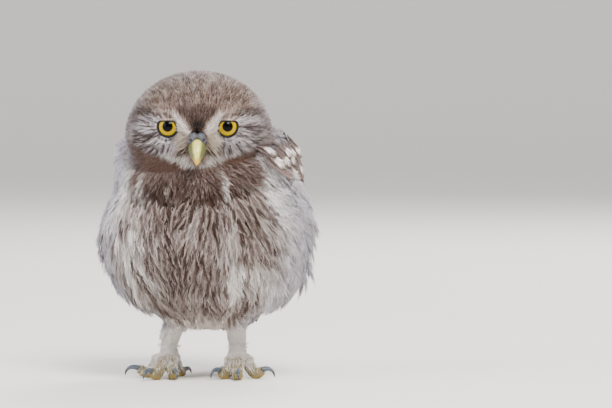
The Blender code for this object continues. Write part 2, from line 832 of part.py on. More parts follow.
def make_foot(side, leg):
    """The pad over the toes' roots, below the leg."""
    middle = foot_centre(side)
    rows = [
        (middle + Vector((0.0, 0.0, 4.6)), 2.6, 2.6),
        (middle + Vector((0.0, 0.2, 6.6)), 4.2, 4.4),
        (middle + Vector((0.0, 0.6, 10.4)), PAD_RADIUS, PAD_RADIUS + 0.4),
        (middle + Vector((0.0, 1.1, 14.6)), 5.0, 5.3),
        (middle + Vector((0.0, 1.5, ANKLE_HEIGHT - GAP)), 4.6, 4.8),
    ]
    foot = swept(
        "foot_" + side_name(side), finer_rows(rows, 5), 12, "leg_down", up=Vector((0.0, -1.0, 0.0))
    )
    spare = grown(leg, GAP)
    cut_away(foot, spare)
    remove(spare)
    return foot


def toe_way(side, toe):
    heading = math.radians(TOE_HEADINGS[side][toe])
    return Vector((math.sin(heading), -math.cos(heading), 0.0))


def toe_heights(toe):
    return HIND_TOE_HEIGHTS if toe == "hind" else FRONT_TOE_HEIGHTS


def make_toe(side, toe, foot):
    """An arched toe with swollen pads, flat where it stands, and cut to meet the foot."""
    way = toe_way(side, toe)
    length = TOE_LENGTHS[toe]
    start = foot_centre(side)
    rows = []
    last = len(TOE_RADII) - 1
    for k, (height, radius) in enumerate(zip(toe_heights(toe), TOE_RADII)):
        reach = TOE_ROOT - 3.0 + (length - TOE_ROOT + 3.0) * k / last
        rows.append((start + way * reach + Vector((0.0, 0.0, height)), radius * 0.92, radius))
    name = f"toe_{side_name(side)}_{toe}"
    body = swept(name, finer_rows(rows, 7), 9, "toe_skin")
    sliced(body, (0.0, 0.0, 0.0), Vector((0.0, 0.0, -1.0)))
    spare = grown(foot, GAP)
    cut_away(body, spare)
    remove(spare)
    return body


def make_claw(side, toe, body):
    """A claw that leaves the toe level, curves down to just above the floor, and is cut to meet the toe."""
    way = toe_way(side, toe)
    length = CLAW_LENGTHS[toe]
    end = foot_centre(side) + way * TOE_LENGTHS[toe] + Vector((0.0, 0.0, toe_heights(toe)[-1]))
    steps = 6
    drop = end.z - CLAW_TIP_HEIGHT
    rows = []
    for k in range(steps + 1):
        share = k / steps
        bend = share * CLAW_BEND
        run = length * CLAW_RUN * math.sin(bend) / math.sin(CLAW_BEND)
        fall = drop * (1.0 - math.cos(bend)) / (1.0 - math.cos(CLAW_BEND))
        rise = CLAW_ARCH * math.sin(math.pi * share)
        radius = CLAW_RADIUS * (1.0 - share) ** 0.72
        place = end + way * (run - CLAW_ROOT) + Vector((0.0, 0.0, rise - fall))
        rows.append((place, radius * 0.82, radius))
    claw = swept(f"claw_{side_name(side)}_{toe}", rows, 7, "claw_horn", pointed=True)
    spare = grown(body, GAP)
    cut_away(claw, spare, "MANIFOLD")
    remove(spare)


def make_feet(trunk):
    for side in (1, -1):
        leg = make_leg(side, trunk)
        foot = make_foot(side, leg)
        toes = []
        for toe in TOE_LENGTHS:
            body = make_toe(side, toe, foot)
            for other in toes:
                spare = grown(other, GAP)
                cut_away(body, spare, "MANIFOLD")
                remove(spare)
            toes.append(body)
            make_claw(side, toe, body)


def make_head():
    """Head with sockets for the eyes, lids and bill, all standing in it with a small gap."""
    head = head_blank()
    head_room = grown(head, GAP, "head_room")
    for side in (1, -1):
        eyeball(side, EYE_RADIUS, "eye_" + side_name(side))
        eyelids(side)
        socket = eyeball(side, EYE_RADIUS + LID_THICK + 2.0 * GAP, "socket")
        centre = head_place(side * EYE_OUT, EYE_FORWARD, EYE_UP)
        mouth = [(centre + eye_axis(side) * reach, wide, wide) for reach, wide in EYE_FUNNEL]
        funnel = swept("funnel", mouth, 14, "lid_skin")
        for cutter in (socket, funnel):
            cut_away(head, cutter)
            remove(cutter)
    for room in make_bill():
        cut_away(head, room)
        remove(room)
    return head_room


def part_neck(trunk, head_room):
    """Parts the trunk at the slanted collar into torso and neck, and hollows both for the head."""
    slant = COLLAR_BACK - COLLAR_FRONT
    normal = turned(slant.cross(Vector((-1.0, 0.0, 0.0)))).normalized()
    if normal.z < 0.0:
        normal.negate()
    middle = turned((COLLAR_FRONT + COLLAR_BACK) / 2.0)
    neck = bpy.data.objects.new("neck", trunk.data.copy())
    bpy.context.scene.collection.objects.link(neck)
    neck.data.materials.clear()
    neck.data.materials.append(make_material("collar_down"))
    sliced(trunk, middle - normal * (GAP / 2.0), normal)
    sliced(neck, middle + normal * (GAP / 2.0), -normal)
    for obj in (trunk, neck):
        cut_away(obj, head_room)


def smooth_shading():
    for obj in bpy.context.scene.collection.objects:
        obj.data.shade_smooth()
        obj.data.set_sharp_from_angle(angle=math.radians(38.0))


def stand_at_origin():
    """Moves the whole bird so that the middle of its footprint box is the origin."""
    shown = [o for o in bpy.context.scene.collection.objects if not o.hide_render]
    corners = np.array([v.co for o in shown for v in o.data.vertices])
    middle = (corners.min(axis=0) + corners.max(axis=0)) / 2.0
    for obj in shown:
        obj.location = (-middle[0], -middle[1], 0.0)


def main():
    clear_scene()
    trunk = torso_blank()
    head_room = make_head()
    make_tail(trunk)
    make_feet(trunk)
    trunk_room = grown(trunk, GAP)
    for side in (1, -1):
        wing = make_wing(side)
        cut_away(wing, trunk_room, "MANIFOLD")
        cut_away(wing, head_room, "MANIFOLD")
    part_neck(trunk, head_room)
    remove(head_room, trunk_room)
    smooth_shading()
    stand_at_origin()


main()
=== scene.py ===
"""Looks of a fledgling little owl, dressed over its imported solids.

One soft skin lies a coat's depth inside the solids of the flesh. Down feathers grow on it, each a lock of
thin tapered barbs along a shaft, and they carry the same markings as the skin. The upper feathers of the
wings are loose locks too, and the flight feathers and the tail are closed vanes. Places and directions come
from the frame's boxes, in metres, and the sizes below are in millimetres.
"""

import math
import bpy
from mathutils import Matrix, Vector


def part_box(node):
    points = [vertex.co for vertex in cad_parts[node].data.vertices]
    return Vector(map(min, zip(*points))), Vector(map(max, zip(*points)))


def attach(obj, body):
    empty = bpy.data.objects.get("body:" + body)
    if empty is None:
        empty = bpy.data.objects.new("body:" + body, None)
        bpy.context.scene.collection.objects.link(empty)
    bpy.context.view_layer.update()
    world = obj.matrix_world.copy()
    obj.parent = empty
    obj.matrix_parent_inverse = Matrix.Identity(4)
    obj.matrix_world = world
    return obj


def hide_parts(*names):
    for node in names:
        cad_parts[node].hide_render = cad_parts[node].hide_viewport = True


bl_info = {
    "name": "Fledgling Little Owl",
    "version": (1, 0, 0),
    "blender": (4, 5, 0),
    "location": "View3D > Sidebar > Owl",
    "description": "Dresses the packed owl in down, feathers, horn and skin",
    "category": "Object",
}

from collections import namedtuple
from functools import partial

import bpy
import bmesh
import numpy as np
from bpy.props import FloatProperty, FloatVectorProperty, IntProperty, PointerProperty
from mathutils import Matrix, Vector
from mathutils.bvhtree import BVHTree

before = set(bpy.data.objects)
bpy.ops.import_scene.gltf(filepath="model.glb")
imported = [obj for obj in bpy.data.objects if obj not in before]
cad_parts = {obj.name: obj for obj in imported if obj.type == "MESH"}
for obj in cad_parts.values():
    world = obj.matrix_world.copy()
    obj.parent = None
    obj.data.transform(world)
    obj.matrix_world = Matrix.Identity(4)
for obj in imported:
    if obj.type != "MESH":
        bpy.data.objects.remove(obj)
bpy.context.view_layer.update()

MM = 0.001
SIDES = {1: "left", -1: "right"}
TOES = ("hind", "inner", "middle", "outer")
UP = np.array((0.0, 0.0, 1.0))


def middle_of(node):
    low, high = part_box(node)
    return np.array((low + high) / 2.0)


# Places read from the frame: the eyes give the head's middle, and the head gives the body's axis
EYES = {side: middle_of("eye_" + name) for side, name in SIDES.items()}
HEAD = (EYES[1] + EYES[-1]) / 2.0 + np.array((0.0, 19.3, -5.7)) * MM
HEAD_RADII = {"side": 39.5, "front": 29.0, "back": 33.0, "up": 35.2, "down": 26.0}
BODY_TURN = math.radians(-12.0)
FRONT = np.array((math.sin(BODY_TURN), -math.cos(BODY_TURN), 0.0))
LEFT = np.array((math.cos(BODY_TURN), math.sin(BODY_TURN), 0.0))
PART_ZERO = HEAD - np.array((-3.4, -4.0, 127.0)) * MM
BODY_AXIS = PART_ZERO - FRONT * 4.0 * MM

# Collar: height of its lower edge at the breast and at the back, and how far those lie from the axis
COLLAR_FRONT_HEIGHT, COLLAR_BACK_HEIGHT = 103.0, 121.0
COLLAR_REACH = 42.5

# Folded wing: height, and the angles of its front and back edge round the body from the breast
WING_ROWS = (
    (36.0, 141.0, 150.0),
    (46.0, 132.0, 157.0),
    (57.0, 120.0, 163.0),
    (70.0, 105.0, 168.0),
    (84.0, 90.0, 170.0),
    (97.0, 76.0, 169.0),
    (109.0, 66.0, 165.0),
    (120.0, 64.0, 156.0),
    (128.0, 74.0, 143.0),
    (133.0, 92.0, 124.0),
)
# Degrees of each wing's front that the flank's down hides, how many fewer at the bare left shoulder, and how
# much further out the skin lies where it carries that down
WING_HIDDEN = {1: 2.0, -1: 26.0}
WING_BARE = 12.0
WING_FILL = 3.6

# Down: one row for each piece of the coat. A barb of one ring is a straight spike, and one of two is bent.
# Each is several times as thick as a real one, which is too fine to show.
Coat = namedtuple("Coat", "name slot feathers barbs rings length half_width thick lift loose seed")
COATS = (
    Coat("down_crown", "head_down", 12500, 3, 1, 3.8, 0.42, 0.32, 1.7, 0.8, 11),
    Coat("down_nape", "head_down", 4800, 3, 1, 5.0, 0.6, 0.36, 1.7, 0.8, 12),
    Coat("down_face_left", "head_down", 7000, 4, 1, 4.4, 0.30, 0.23, 1.15, 0.7, 13),
    Coat("down_face_right", "head_down", 7000, 4, 1, 4.4, 0.30, 0.23, 1.15, 0.7, 22),
    Coat("down_collar", "collar_down", 2050, 7, 2, 7.5, 0.9, 0.32, 2.8, 0.9, 14),
    Coat("down_breast_left", "body_down", 370, 35, 2, 16.5, 2.9, 0.36, 4.6, 1.1, 15),
    Coat("down_breast_right", "body_down", 370, 35, 2, 16.5, 2.9, 0.36, 4.6, 1.1, 16),
    Coat("down_belly_left", "body_down", 370, 35, 2, 17.0, 3.0, 0.36, 4.6, 1.3, 17),
    Coat("down_belly_right", "body_down", 370, 35, 2, 17.0, 3.0, 0.36, 4.6, 1.3, 18),
    Coat("down_back", "body_down", 250, 36, 2, 16.0, 3.2, 0.38, 4.4, 1.0, 19),
    Coat("down_rump", "body_down", 240, 36, 2, 17.0, 3.2, 0.38, 4.4, 1.2, 20),
    Coat("down_legs", "leg_down", 2200, 6, 1, 4.4, 0.7, 0.26, 0.9, 0.4, 21),
)
TOE_COAT = Coat("down_toes", "leg_down", 1900, 5, 1, 3.4, 0.55, 0.22, 0.8, 0.4, 33)
FACE_PIECES = ("down_face_left", "down_face_right")
HEAD_PIECES = ("down_crown", "down_nape") + FACE_PIECES
# Where pieces of the coat meet: share of the head's outline, degrees from the breast, and heights
HEAD_END, BACK_FROM = 1.075, 104.0
BREAST_FROM, LEGS_TO = 66.0, 27.0
# Feathers bend round radii of this many millimetres on the head and on the body
HEAD_BEND, BODY_BEND = 34.0, 52.0

# Bill rows, from the middle of the head: forward, up, half width and half height
BILL_UPPER_ROWS = (
    (24.5, -4.2, 3.2, 3.6),
    (29.6, -4.2, 4.0, 3.9),
    (33.2, -5.2, 4.7, 4.1),
    (36.0, -7.4, 4.2, 3.7),
    (37.6, -9.9, 2.8, 2.4),
    (38.0, -12.2, 1.4, 1.2),
    (37.6, -13.8, 0.3, 0.35),
)
BILL_LOWER_ROWS = (
    (24.0, -7.6, 3.4, 1.6),
    (28.5, -8.5, 4.0, 1.6),
    (32.0, -9.6, 3.2, 1.3),
    (34.5, -10.9, 1.5, 0.7),
)
# How narrow the pale band along the bill's ridge is; outside it the sides take a darker colour that is partly
# painted shade
RIDGE_SHARPNESS = 4.2
# Nostril: out, forward and up from the middle of the head
NOSTRIL = (3.6, 33.9, -0.9)
NOSTRIL_RADIUS, NOSTRIL_DEPTH = 1.2, 0.9
# Cere: (out, forward, up) from the middle of the head and the radii of its lobes, nostril rims and root, and
# the mesh size of its skin
CERE_BALLS = (
    ((1.9, 29.6, 0.7), (2.4, 3.5, 2.2)),
    ((3.1, 31.6, -1.3), (1.9, 2.6, 2.1)),
    ((1.6, 28.6, -2.0), (2.8, 3.6, 3.6)),
)
CERE_GRAIN = 0.2
EYE_RADIUS = 7.2
CORNEA_RISE, CORNEA_SPREAD = 0.35, 0.35

# Lids: inner and outer radius, and a round opening cut straight by the level upper lid and by the frown.
# Each cut has the heading of its distance from the eye's middle, in degrees from outward, and that distance.
LID_INNER, LID_OUTER = 7.36, 8.05
LID_OPENING = 5.2
LID_CUTS = ((90.0, 2.6), (154.0, 4.15))
LID_CORNER = 9.0
LID_RIM = 0.7
LID_REACH = math.radians(84.0)

# Plugs that close the sockets of the eyes and of the bill in the skin
EYE_PLUG = 6.9
BILL_PLUG_AT = (0.0, -22.5, -2.5)
BILL_PLUG = (5.6, 6.2, 8.0)
# The leg's skin runs on inside the top of the foot: how far down its plug's middle lies, and the plug's radii
ANKLE_DROP = 2.5
ANKLE_PLUG = (4.4, 4.6, 4.6)
ANKLE_HEIGHT = float(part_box("foot_left")[1][2]) / MM

# Folded wing tiers: count, root heights at the front and back edge, shares across, length, half width
COVERT_TIERS = (
    (10, (125.5, 129.5), (0.06, 0.96), 11.0, 3.6),
    (11, (122.0, 128.5), (0.03, 0.96), 12.0, 3.7),
    (12, (116.5, 124.0), (0.02, 0.96), 13.5, 3.8),
    (12, (110.0, 119.0), (0.02, 0.96), 15.5, 4.0),
    (13, (102.0, 113.0), (0.02, 0.96), 19.0, 4.2),
)
TAIL_SLOPE = math.radians(52.0)
TAIL_ROOT_HEIGHT = 56.0
# How far the tail's root lies inside the body and below its surface
TAIL_INSIDE, TAIL_BELOW = 12.0, 3.0
# How much shorter its outer feathers are, how far their tips droop, and how steeply they lean to the sides
TAIL_SHORTER, TAIL_DROOP, TAIL_TILT = 4.0, 2.0, 0.10
# Tail feathers, and their coverts above and below: count, half width of the root, half angle of the fan,
# length, half width of a feather, lift at the middle, how much less at the sides, and 1 for the upper side
TAIL_TIERS = (
    (12, 6.3, 8.5, 51.0, 4.6, 0.6, 1.2, 1.0),
    (5, 6.0, 6.0, 31.0, 5.0, 2.6, 0.8, 1.0),
    (5, 6.0, 6.0, 31.0, 5.0, 2.6, 0.8, -1.0),
)


def linear(code):
    """An sRGB hex colour as linear red, green, blue and alpha."""
    shares = [int(code[i : i + 2], 16) / 255.0 for i in (1, 3, 5)]
    return (*[s / 12.92 if s <= 0.04045 else ((s + 0.055) / 1.055) ** 2.4 for s in shares], 1.0)


def tint(label, code, note):
    return FloatVectorProperty(
        name=label, description=note, subtype="COLOR", size=4, min=0.0, max=1.0, default=linear(code)
    )


def length_of(label, millimetres, note):
    return FloatProperty(
        name=label, description=note, default=millimetres * MM, min=0.0, soft_max=0.1, unit="LENGTH"
    )


class OwlSizes(bpy.types.PropertyGroup):
    """Sizes that set how the coat, the eyes and the camera look."""

    coat_density: FloatProperty(
        name="Coat density",
        description="Share of the down feathers that are made",
        default=1.0,
        min=0.05,
        max=1.0,
        subtype="FACTOR",
    )
    body_depth: length_of("Body coat depth", 5.0, "How far the skin lies inside the body's outline")
    collar_depth: length_of("Collar coat depth", 3.4, "How far the skin lies inside the neck's outline")
    crown_depth: length_of("Crown coat depth", 2.2, "How far the skin lies inside the crown's outline")
    face_depth: length_of("Face coat depth", 1.1, "How far the skin lies inside the face's outline")
    brow_rise: length_of("Brow ridge", 1.7, "How far the brow stands out over the eye")
    leg_depth: length_of("Leg coat depth", 0.9, "How far the skin lies inside the leg's outline")
    skin_grain: length_of("Skin mesh size", 1.15, "Edge length of the skin's faces")
    iris_radius: length_of("Iris radius", 4.65, "Outer radius of the yellow ring")
    pupil_radius: length_of("Pupil radius", 2.7, "Radius of the black pupil")
    vane_thick: length_of("Vane thickness", 0.3, "Thickness of a wing or tail feather")
    scute_length: length_of("Scute length", 1.5, "Step between the plates on a toe")
    bristle_length: length_of("Bristle length", 5.6, "Length of the stiff bristles beside the bill")
    bristle_radius: length_of("Bristle radius", 0.07, "Half the thickness of a bristle at its root")
    bristle_count: IntProperty(
        name="Bristles", description="Stiff bristles on each side of the bill", default=62, min=0, max=200
    )
    lens: FloatProperty(
        name="Lens", description="Focal length on a 36 mm wide sensor", default=223.7, min=10.0, unit="CAMERA"
    )
    camera_distance: length_of("Camera distance", 2000.0, "From the camera to the bird")
    camera_height_angle: FloatProperty(
        name="Camera elevation",
        description="Angle of the view above the horizon",
        default=math.radians(2.5),
        subtype="ANGLE",
    )


class OwlColours(bpy.types.PropertyGroup):
    """Colours of the bird and of the floor that it stands on."""

    down_ground: tint("Down, ground", "#93786d", "Grey-brown of the down between its markings")
    down_warm: tint("Down, warm", "#6c4a3c", "Warm brown of the collar")
    down_pale: tint("Down, pale", "#fdf8f4", "White of the brows, cheeks, flanks and feather edges")
    down_dark: tint("Down, dark", "#3f2d25", "Dark brown of the feathers' middles and of the forehead")
    down_beige: tint("Down, beige", "#dccab8", "Warm cream of the pale down under the belly")
    # Painted shade: the white down drawn bluish grey on the flanks and round the head's edges
    down_cool_shade: tint("Down, cool", "#c9c6d2", "Lavender grey of the soft down on the flanks")
    vane_ground: tint("Vane, ground", "#7d685c", "Brown of the wing and tail feathers")
    vane_pale: tint("Vane, pale", "#efe6dc", "White of the spots and bars")
    iris_outer: tint("Iris, outer", "#ae9800", "Clear yellow of the iris")
    iris_inner: tint("Iris, inner", "#a08000", "Deeper yellow round the pupil")
    pupil: tint("Pupil", "#020202", "Black of the pupil and of the iris's outer rim")
    # The bill's sides: the horn's greenish grey, darkened as painted shade
    bill_shaded_side: tint("Bill, side", "#50542b", "Greenish grey horn of the bill's sides")
    bill_ridge: tint("Bill, ridge", "#d2c968", "Pale yellow horn of the bill's ridge")
    bill_tip: tint("Bill, tip", "#d0a428", "Amber horn of the bill's tip")
    cere: tint("Cere", "#5f6169", "Grey-blue skin round the nostrils")
    # Painted shade: the dark inside of the nostrils' pits
    nostril: tint("Nostril", "#1d1210", "Dark inside of the nostrils")
    bristle: tint("Bristle", "#b7ac9b", "Straw colour of the stiff bristles beside the bill")
    toe_back: tint("Toe, back", "#82775a", "Olive-grey skin of the toes")
    toe_pad: tint("Toe, pad", "#94803f", "Yellow skin under the toes")
    toe_groove: tint("Toe, groove", "#5d5138", "Dark skin between the scales of the toes")
    claw_root: tint("Claw, root", "#4d5763", "Slate blue horn at a claw's root")
    claw_tip: tint("Claw, tip", "#0e1014", "Black horn at a claw's tip")
    lid: tint("Lid", "#0c0908", "Dark skin of the lids")
    floor: tint("Floor", "#e9e6e1", "Pale matt floor")


# Small numeric helpers


def smooth(low, high, value):
    share = np.clip((value - low) / (high - low), 0.0, 1.0)
    return share * share * (3.0 - 2.0 * share)


def between(low, from_low, to_high, high, value):
    """1 from the second to the third value, falling to 0 at the first and the last."""
    return smooth(low, from_low, value) * (1.0 - smooth(to_high, high, value))


def lengths(vectors):
    return np.linalg.norm(vectors, axis=-1)


def unit(vectors):
    return vectors / np.maximum(np.linalg.norm(vectors, axis=-1, keepdims=True), 1e-12)


def along_surface(vectors, normals):
    """The vectors laid flat on the surface."""
    return unit(vectors - normals * np.sum(vectors * normals, axis=-1, keepdims=True))


def hashed(x, y, seed):
    """A steady pseudo-random share for whole numbers x and y."""
    value = np.sin(x * 127.1 + y * 311.7 + seed * 74.7) * 43758.5453
    return value - np.floor(value)


def patches(x, y, seed):
    """Soft patches about one unit across, from 0 to 1."""
    cell_x, cell_y = np.floor(x), np.floor(y)
    u, v = x - cell_x, y - cell_y
    u, v = u * u * (3.0 - 2.0 * u), v * v * (3.0 - 2.0 * v)
    low = hashed(cell_x, cell_y, seed) * (1.0 - u) + hashed(cell_x + 1.0, cell_y, seed) * u
    high = hashed(cell_x, cell_y + 1.0, seed) * (1.0 - u) + hashed(cell_x + 1.0, cell_y + 1.0, seed) * u
    return low * (1.0 - v) + high * v


def finer(rows, steps):
    """Rows read along the smooth curve through a few given ones."""
    rows = np.asarray(rows, float)
    found = []
    for place in np.linspace(0.0, len(rows) - 1.0, steps):
        index = min(int(place), len(rows) - 2)
        t = place - index
        here, after = rows[index], rows[index + 1]
        before, later = rows[max(index - 1, 0)], rows[min(index + 2, len(rows) - 1)]
        slope_here, slope_after = (after - before) / 2.0, (later - here) / 2.0
        found.append(
            (2 * t**3 - 3 * t**2 + 1) * here
            + (t**3 - 2 * t**2 + t) * slope_here
            + (3 * t**2 - 2 * t**3) * after
            + (t**3 - t**2) * slope_after
        )
    return np.array(found)


# Where a point lies on the bird


def on_head(points):
    """Places from the middle of the head, in millimetres, and the share of the way to the head's outline."""
    q = (points - HEAD) / MM
    deep = np.where(q[:, 1] < 0.0, HEAD_RADII["front"], HEAD_RADII["back"])
    tall = np.where(q[:, 2] > 0.0, HEAD_RADII["up"], HEAD_RADII["down"])
    reach = np.sqrt((q[:, 0] / HEAD_RADII["side"]) ** 2 + (q[:, 1] / deep) ** 2 + (q[:, 2] / tall) ** 2)
    return q, reach


def round_body(points):
    """Angle round the body from the breast, positive to the bird's left, in degrees, and the height in mm."""
    offset = points - BODY_AXIS
    return np.degrees(np.arctan2(offset @ LEFT, offset @ FRONT)), points[:, 2] / MM


def collar_height(points):
    """Height of the collar's lower edge at these points, in millimetres."""
    back = -((points - BODY_AXIS) @ FRONT) / MM
    share = (back + COLLAR_REACH) / (2.0 * COLLAR_REACH)
    return COLLAR_FRONT_HEIGHT + (COLLAR_BACK_HEIGHT - COLLAR_FRONT_HEIGHT) * share


def wing_hidden(side, height):
    """Degrees of the wing's front hidden by the flank's down: less at the left shoulder, which lies bare."""
    bare = WING_BARE * smooth(102.0, 116.0, height)
    return np.where(np.asarray(side) > 0.0, WING_HIDDEN[1] - bare, WING_HIDDEN[-1])


def wing_edges(side, height):
    """Angles of the folded wing's front and back edge, as far as the flank's down leaves it bare."""
    heights, lead, trail = np.array(WING_ROWS).T
    return np.interp(height, heights, lead) + wing_hidden(side, height), np.interp(height, heights, trail)


def wing_filled(points):
    """1 where the flank's down lies over the wing's front."""
    angle, height = round_body(points)
    lead, _ = wing_edges(angle, height)
    hidden = wing_hidden(angle, height)
    inside = between(lead - hidden - 4.0, lead - hidden + 6.0, lead + 4.0, lead + 12.0, np.abs(angle))
    return inside * between(66.0, 80.0, 122.0, 130.0, height)


def wing_cover(points, margin):
    """1 where the folded wing lies over the body, with this margin in degrees inside its edges."""
    angle, height = round_body(points)
    lead, trail = wing_edges(angle, height)
    lead, trail = lead + margin, trail - margin
    inside = between(lead - 2.0, lead + 2.0, trail - 2.0, trail + 2.0, np.abs(angle))
    return inside * between(60.0, 68.0, 124.0, 130.0, height)


def eye_distance(points):
    return np.minimum(*[lengths(points - EYES[side]) / MM for side in SIDES])


def eye_ways(side):
    """The eye's ways outward across the face, up and ahead. It looks a little towards the bill and up."""
    splay = math.radians(9.0)
    ahead = np.array((side * math.sin(splay), -math.cos(splay), 0.0))
    across = unit(np.cross(UP, ahead))
    across = across * np.sign(across[0]) * side
    gaze = unit(ahead * EYE_RADIUS - across * 0.5 + UP * 0.3)
    across = unit(across - gaze * (across @ gaze))
    above = unit(UP - gaze * (UP @ gaze) - across * (UP @ across))
    return across, above, gaze


def lid_opening(turn):
    """Radius of the opening between the lids: round below and outside, and cut straight above."""
    closeness = LID_OPENING**-LID_CORNER
    for heading, distance in LID_CUTS:
        facing = np.maximum(np.cos(np.asarray(turn) - math.radians(heading)), 1e-3)
        closeness = closeness + (facing / distance) ** LID_CORNER
    return closeness ** (-1.0 / LID_CORNER)


def past_lid_edge(points):
    """How far points on the lids lie from the opening, in millimetres."""
    nearest = np.full(len(points), 1e3)
    for side in SIDES:
        across, above, gaze = eye_ways(side)
        offset = unit(points - EYES[side])
        x, z = offset @ across, offset @ above
        past = LID_OUTER * np.hypot(x, z) - lid_opening(np.arctan2(z, x))
        past = np.where(offset @ gaze > 0.0, past, 9.0)
        nearest = np.where(lengths(points - EYES[side]) < 12.0 * MM, past, nearest)
    return nearest


def near_line(x, z, places, width):
    """1 on a line of straight stretches through the places of the face and 0 far from it."""
    nearest = np.full(len(x), 1e9)
    spot = np.stack([x, z], axis=1)
    for start, end in zip(places[:-1], places[1:]):
        start, line = np.array(start), np.array(end) - np.array(start)
        share = np.clip(((spot - start) @ line) / (line @ line), 0.0, 1.0)
        nearest = np.minimum(nearest, lengths(spot - start - share[:, None] * line))
    return np.exp(-((nearest / width) ** 2))


def blob(x, z, middle, radii):
    return np.exp(-(((x - middle[0]) / radii[0]) ** 2 + ((z - middle[1]) / radii[1]) ** 2) ** 1.5)


# Markings: shares of pale, warm, dark and cool down at a place, where the cool share is painted shade: it
# draws the down bluish grey on the flanks, round the head's sides and top, and a little all over the body.
# Skin and coat read the same ones.

# Lines and spots of the face: across and up from the middle of the head
EYE_SPOT = (14.9, 5.7)
GAPE = (6.6, -5.9)
BROW = ((4.4, 3.4), (6.6, 5.4), (9.3, 8.2), (12.0, 11.2))
BROW_TAIL = ((12.0, 11.2), (15.0, 12.8), (20.0, 13.2), (25.0, 12.0))
MOUSTACHE = ((6.0, -10.6), (12.0, -8.9), (19.0, -6.6), (27.0, -3.4), (33.5, 1.0))
# Lower edge of the cheeks: places across, and the heights there
CHEEK_EDGE = ((0.0, 6.0, 10.0, 16.0, 26.0), (-16.8, -14.4, -12.0, -8.6, -3.6))
# The forehead's dark wedge: how high over the head's middle it starts, and how it widens on the way up
WEDGE_FOOT, WEDGE_WIDENING = 1.6, 1.02


def in_wedge(x, z, softness):
    """1 inside the dark wedge of the forehead."""
    return smooth(0.0, softness, (z - WEDGE_FOOT) * WEDGE_WIDENING - x)


def face_marks(q):
    """Brows, lores, cheeks, moustache and the dark forehead."""
    x, z = np.abs(q[:, 0]), q[:, 2]
    grain = patches(q[:, 0] * 1.1, q[:, 2] * 1.1, 3.0)
    turn = np.degrees(np.arctan2(z - EYE_SPOT[1], x - EYE_SPOT[0]))
    reach = np.hypot(x - EYE_SPOT[0], z - EYE_SPOT[1])
    half = 2.0 * (q[:, 0] > 0.0)
    rays = patches(turn / 5.0 + 11.0 + 0.5 * grain, reach / 4.5 + grain, 5.0 + half)
    fine = patches(turn / 2.6 + 31.0 + 0.5 * grain, reach / 3.0 + grain, 15.0 + half)
    rays = 0.55 * rays + 0.45 * fine
    disc = smooth(1.2, 0.8, np.hypot((x - 19.5) / 13.5, (z - 3.0) / 10.5))
    outer = smooth(13.0, 20.0, x + 0.8 * (EYE_SPOT[1] - z))
    pale = 1.1 * near_line(x, z, BROW, 1.05)
    pale += 0.55 * near_line(x, z, BROW_TAIL, 0.75) * (0.4 + grain)
    pale += 1.15 * blob(x, z, (19.0, -1.2), (7.0, 1.9))
    pale += 0.75 * blob(x, z, (7.8, 1.0), (3.0, 4.8)) * (0.55 + 0.8 * grain)
    pale += disc * (0.35 + 0.8 * outer) * smooth(0.44, 0.60, rays)
    pale += 1.15 * near_line(x, z, MOUSTACHE, 1.9) * (0.5 + 0.8 * grain)
    pale += 0.8 * blob(x, z, (4.6, -13.4), (4.2, 1.9))
    wedge = in_wedge(x, z, 1.6) * (1.0 - smooth(9.0, 20.0, z))
    dark = 0.85 * wedge + 1.1 * blob(x, z, (0.0, 4.6), (3.0, 2.6))
    dark += 1.2 * blob(x, z, GAPE, (2.2, 1.7))
    dark += 0.9 * blob(x, z, (25.5, 12.4), (5.5, 2.4))
    dark += 1.0 * disc * outer * smooth(0.50, 0.66, 1.0 - rays)
    dark += 0.8 * near_line(x, z, ((19.5, 1.6), (25.0, 0.8), (31.0, 3.4)), 0.8)
    dark += 0.8 * near_line(x, z, ((18.0, -3.6), (24.0, -3.2), (30.0, -0.6)), 0.7)
    # Painted shade: a dark band under the brow, over the eye
    dark += 0.7 * near_line(x, z, ((12.6, 9.0), (16.0, 10.8), (21.0, 11.2)), 0.8)
    dark += 0.5 * near_line(x, z, ((9.0, -9.6), (14.0, -9.9), (21.0, -8.0)), 0.6) * grain
    dark += 0.35 * smooth(0.6, 0.8, grain) * (1.0 - disc)
    below = smooth(1.0, -1.0, z - np.interp(x, *CHEEK_EDGE) + 1.6 * (grain - 0.5))
    warm = below + 0.5 * smooth(11.0, 15.0, z) + 0.5 * smooth(31.0, 36.0, x) * smooth(8.0, 2.0, z)
    warm += 0.7 * blob(x, z, (7.8, 0.0), (4.0, 6.0)) + 0.35 * near_line(x, z, BROW_TAIL, 1.2)
    # Painted shade: the outer face and the head's edge are drawn bluish grey
    cool_shade = 0.5 * disc * outer + 0.35 * smooth(30.0, 36.0, np.hypot(x, z * 1.1))
    beside = smooth(24.5, 31.0, x)
    warm += 0.25 * beside
    dark += 0.3 * beside * (0.5 + grain)
    pale = pale * (1.0 - 0.95 * wedge) * (1.0 - 0.9 * below) * (1.0 - 0.6 * beside)
    return np.stack([pale, warm, dark + 0.25 * below, cool_shade], axis=1)


def face_shade(points):
    """How bright the down stays: nearly black over the bill's root, and dark at the gape."""
    q, _ = on_head(points)
    x, z = np.abs(q[:, 0]), q[:, 2]
    dim = 0.7 * blob(x, z, (0.0, 4.4), (2.8, 2.8)) + 0.6 * blob(x, z, GAPE, (2.0, 1.5))
    dim += 0.22 * in_wedge(x, z, 2.0) * (1.0 - smooth(8.0, 17.0, z))
    return 1.0 - dim * (q[:, 1] < -5.0)


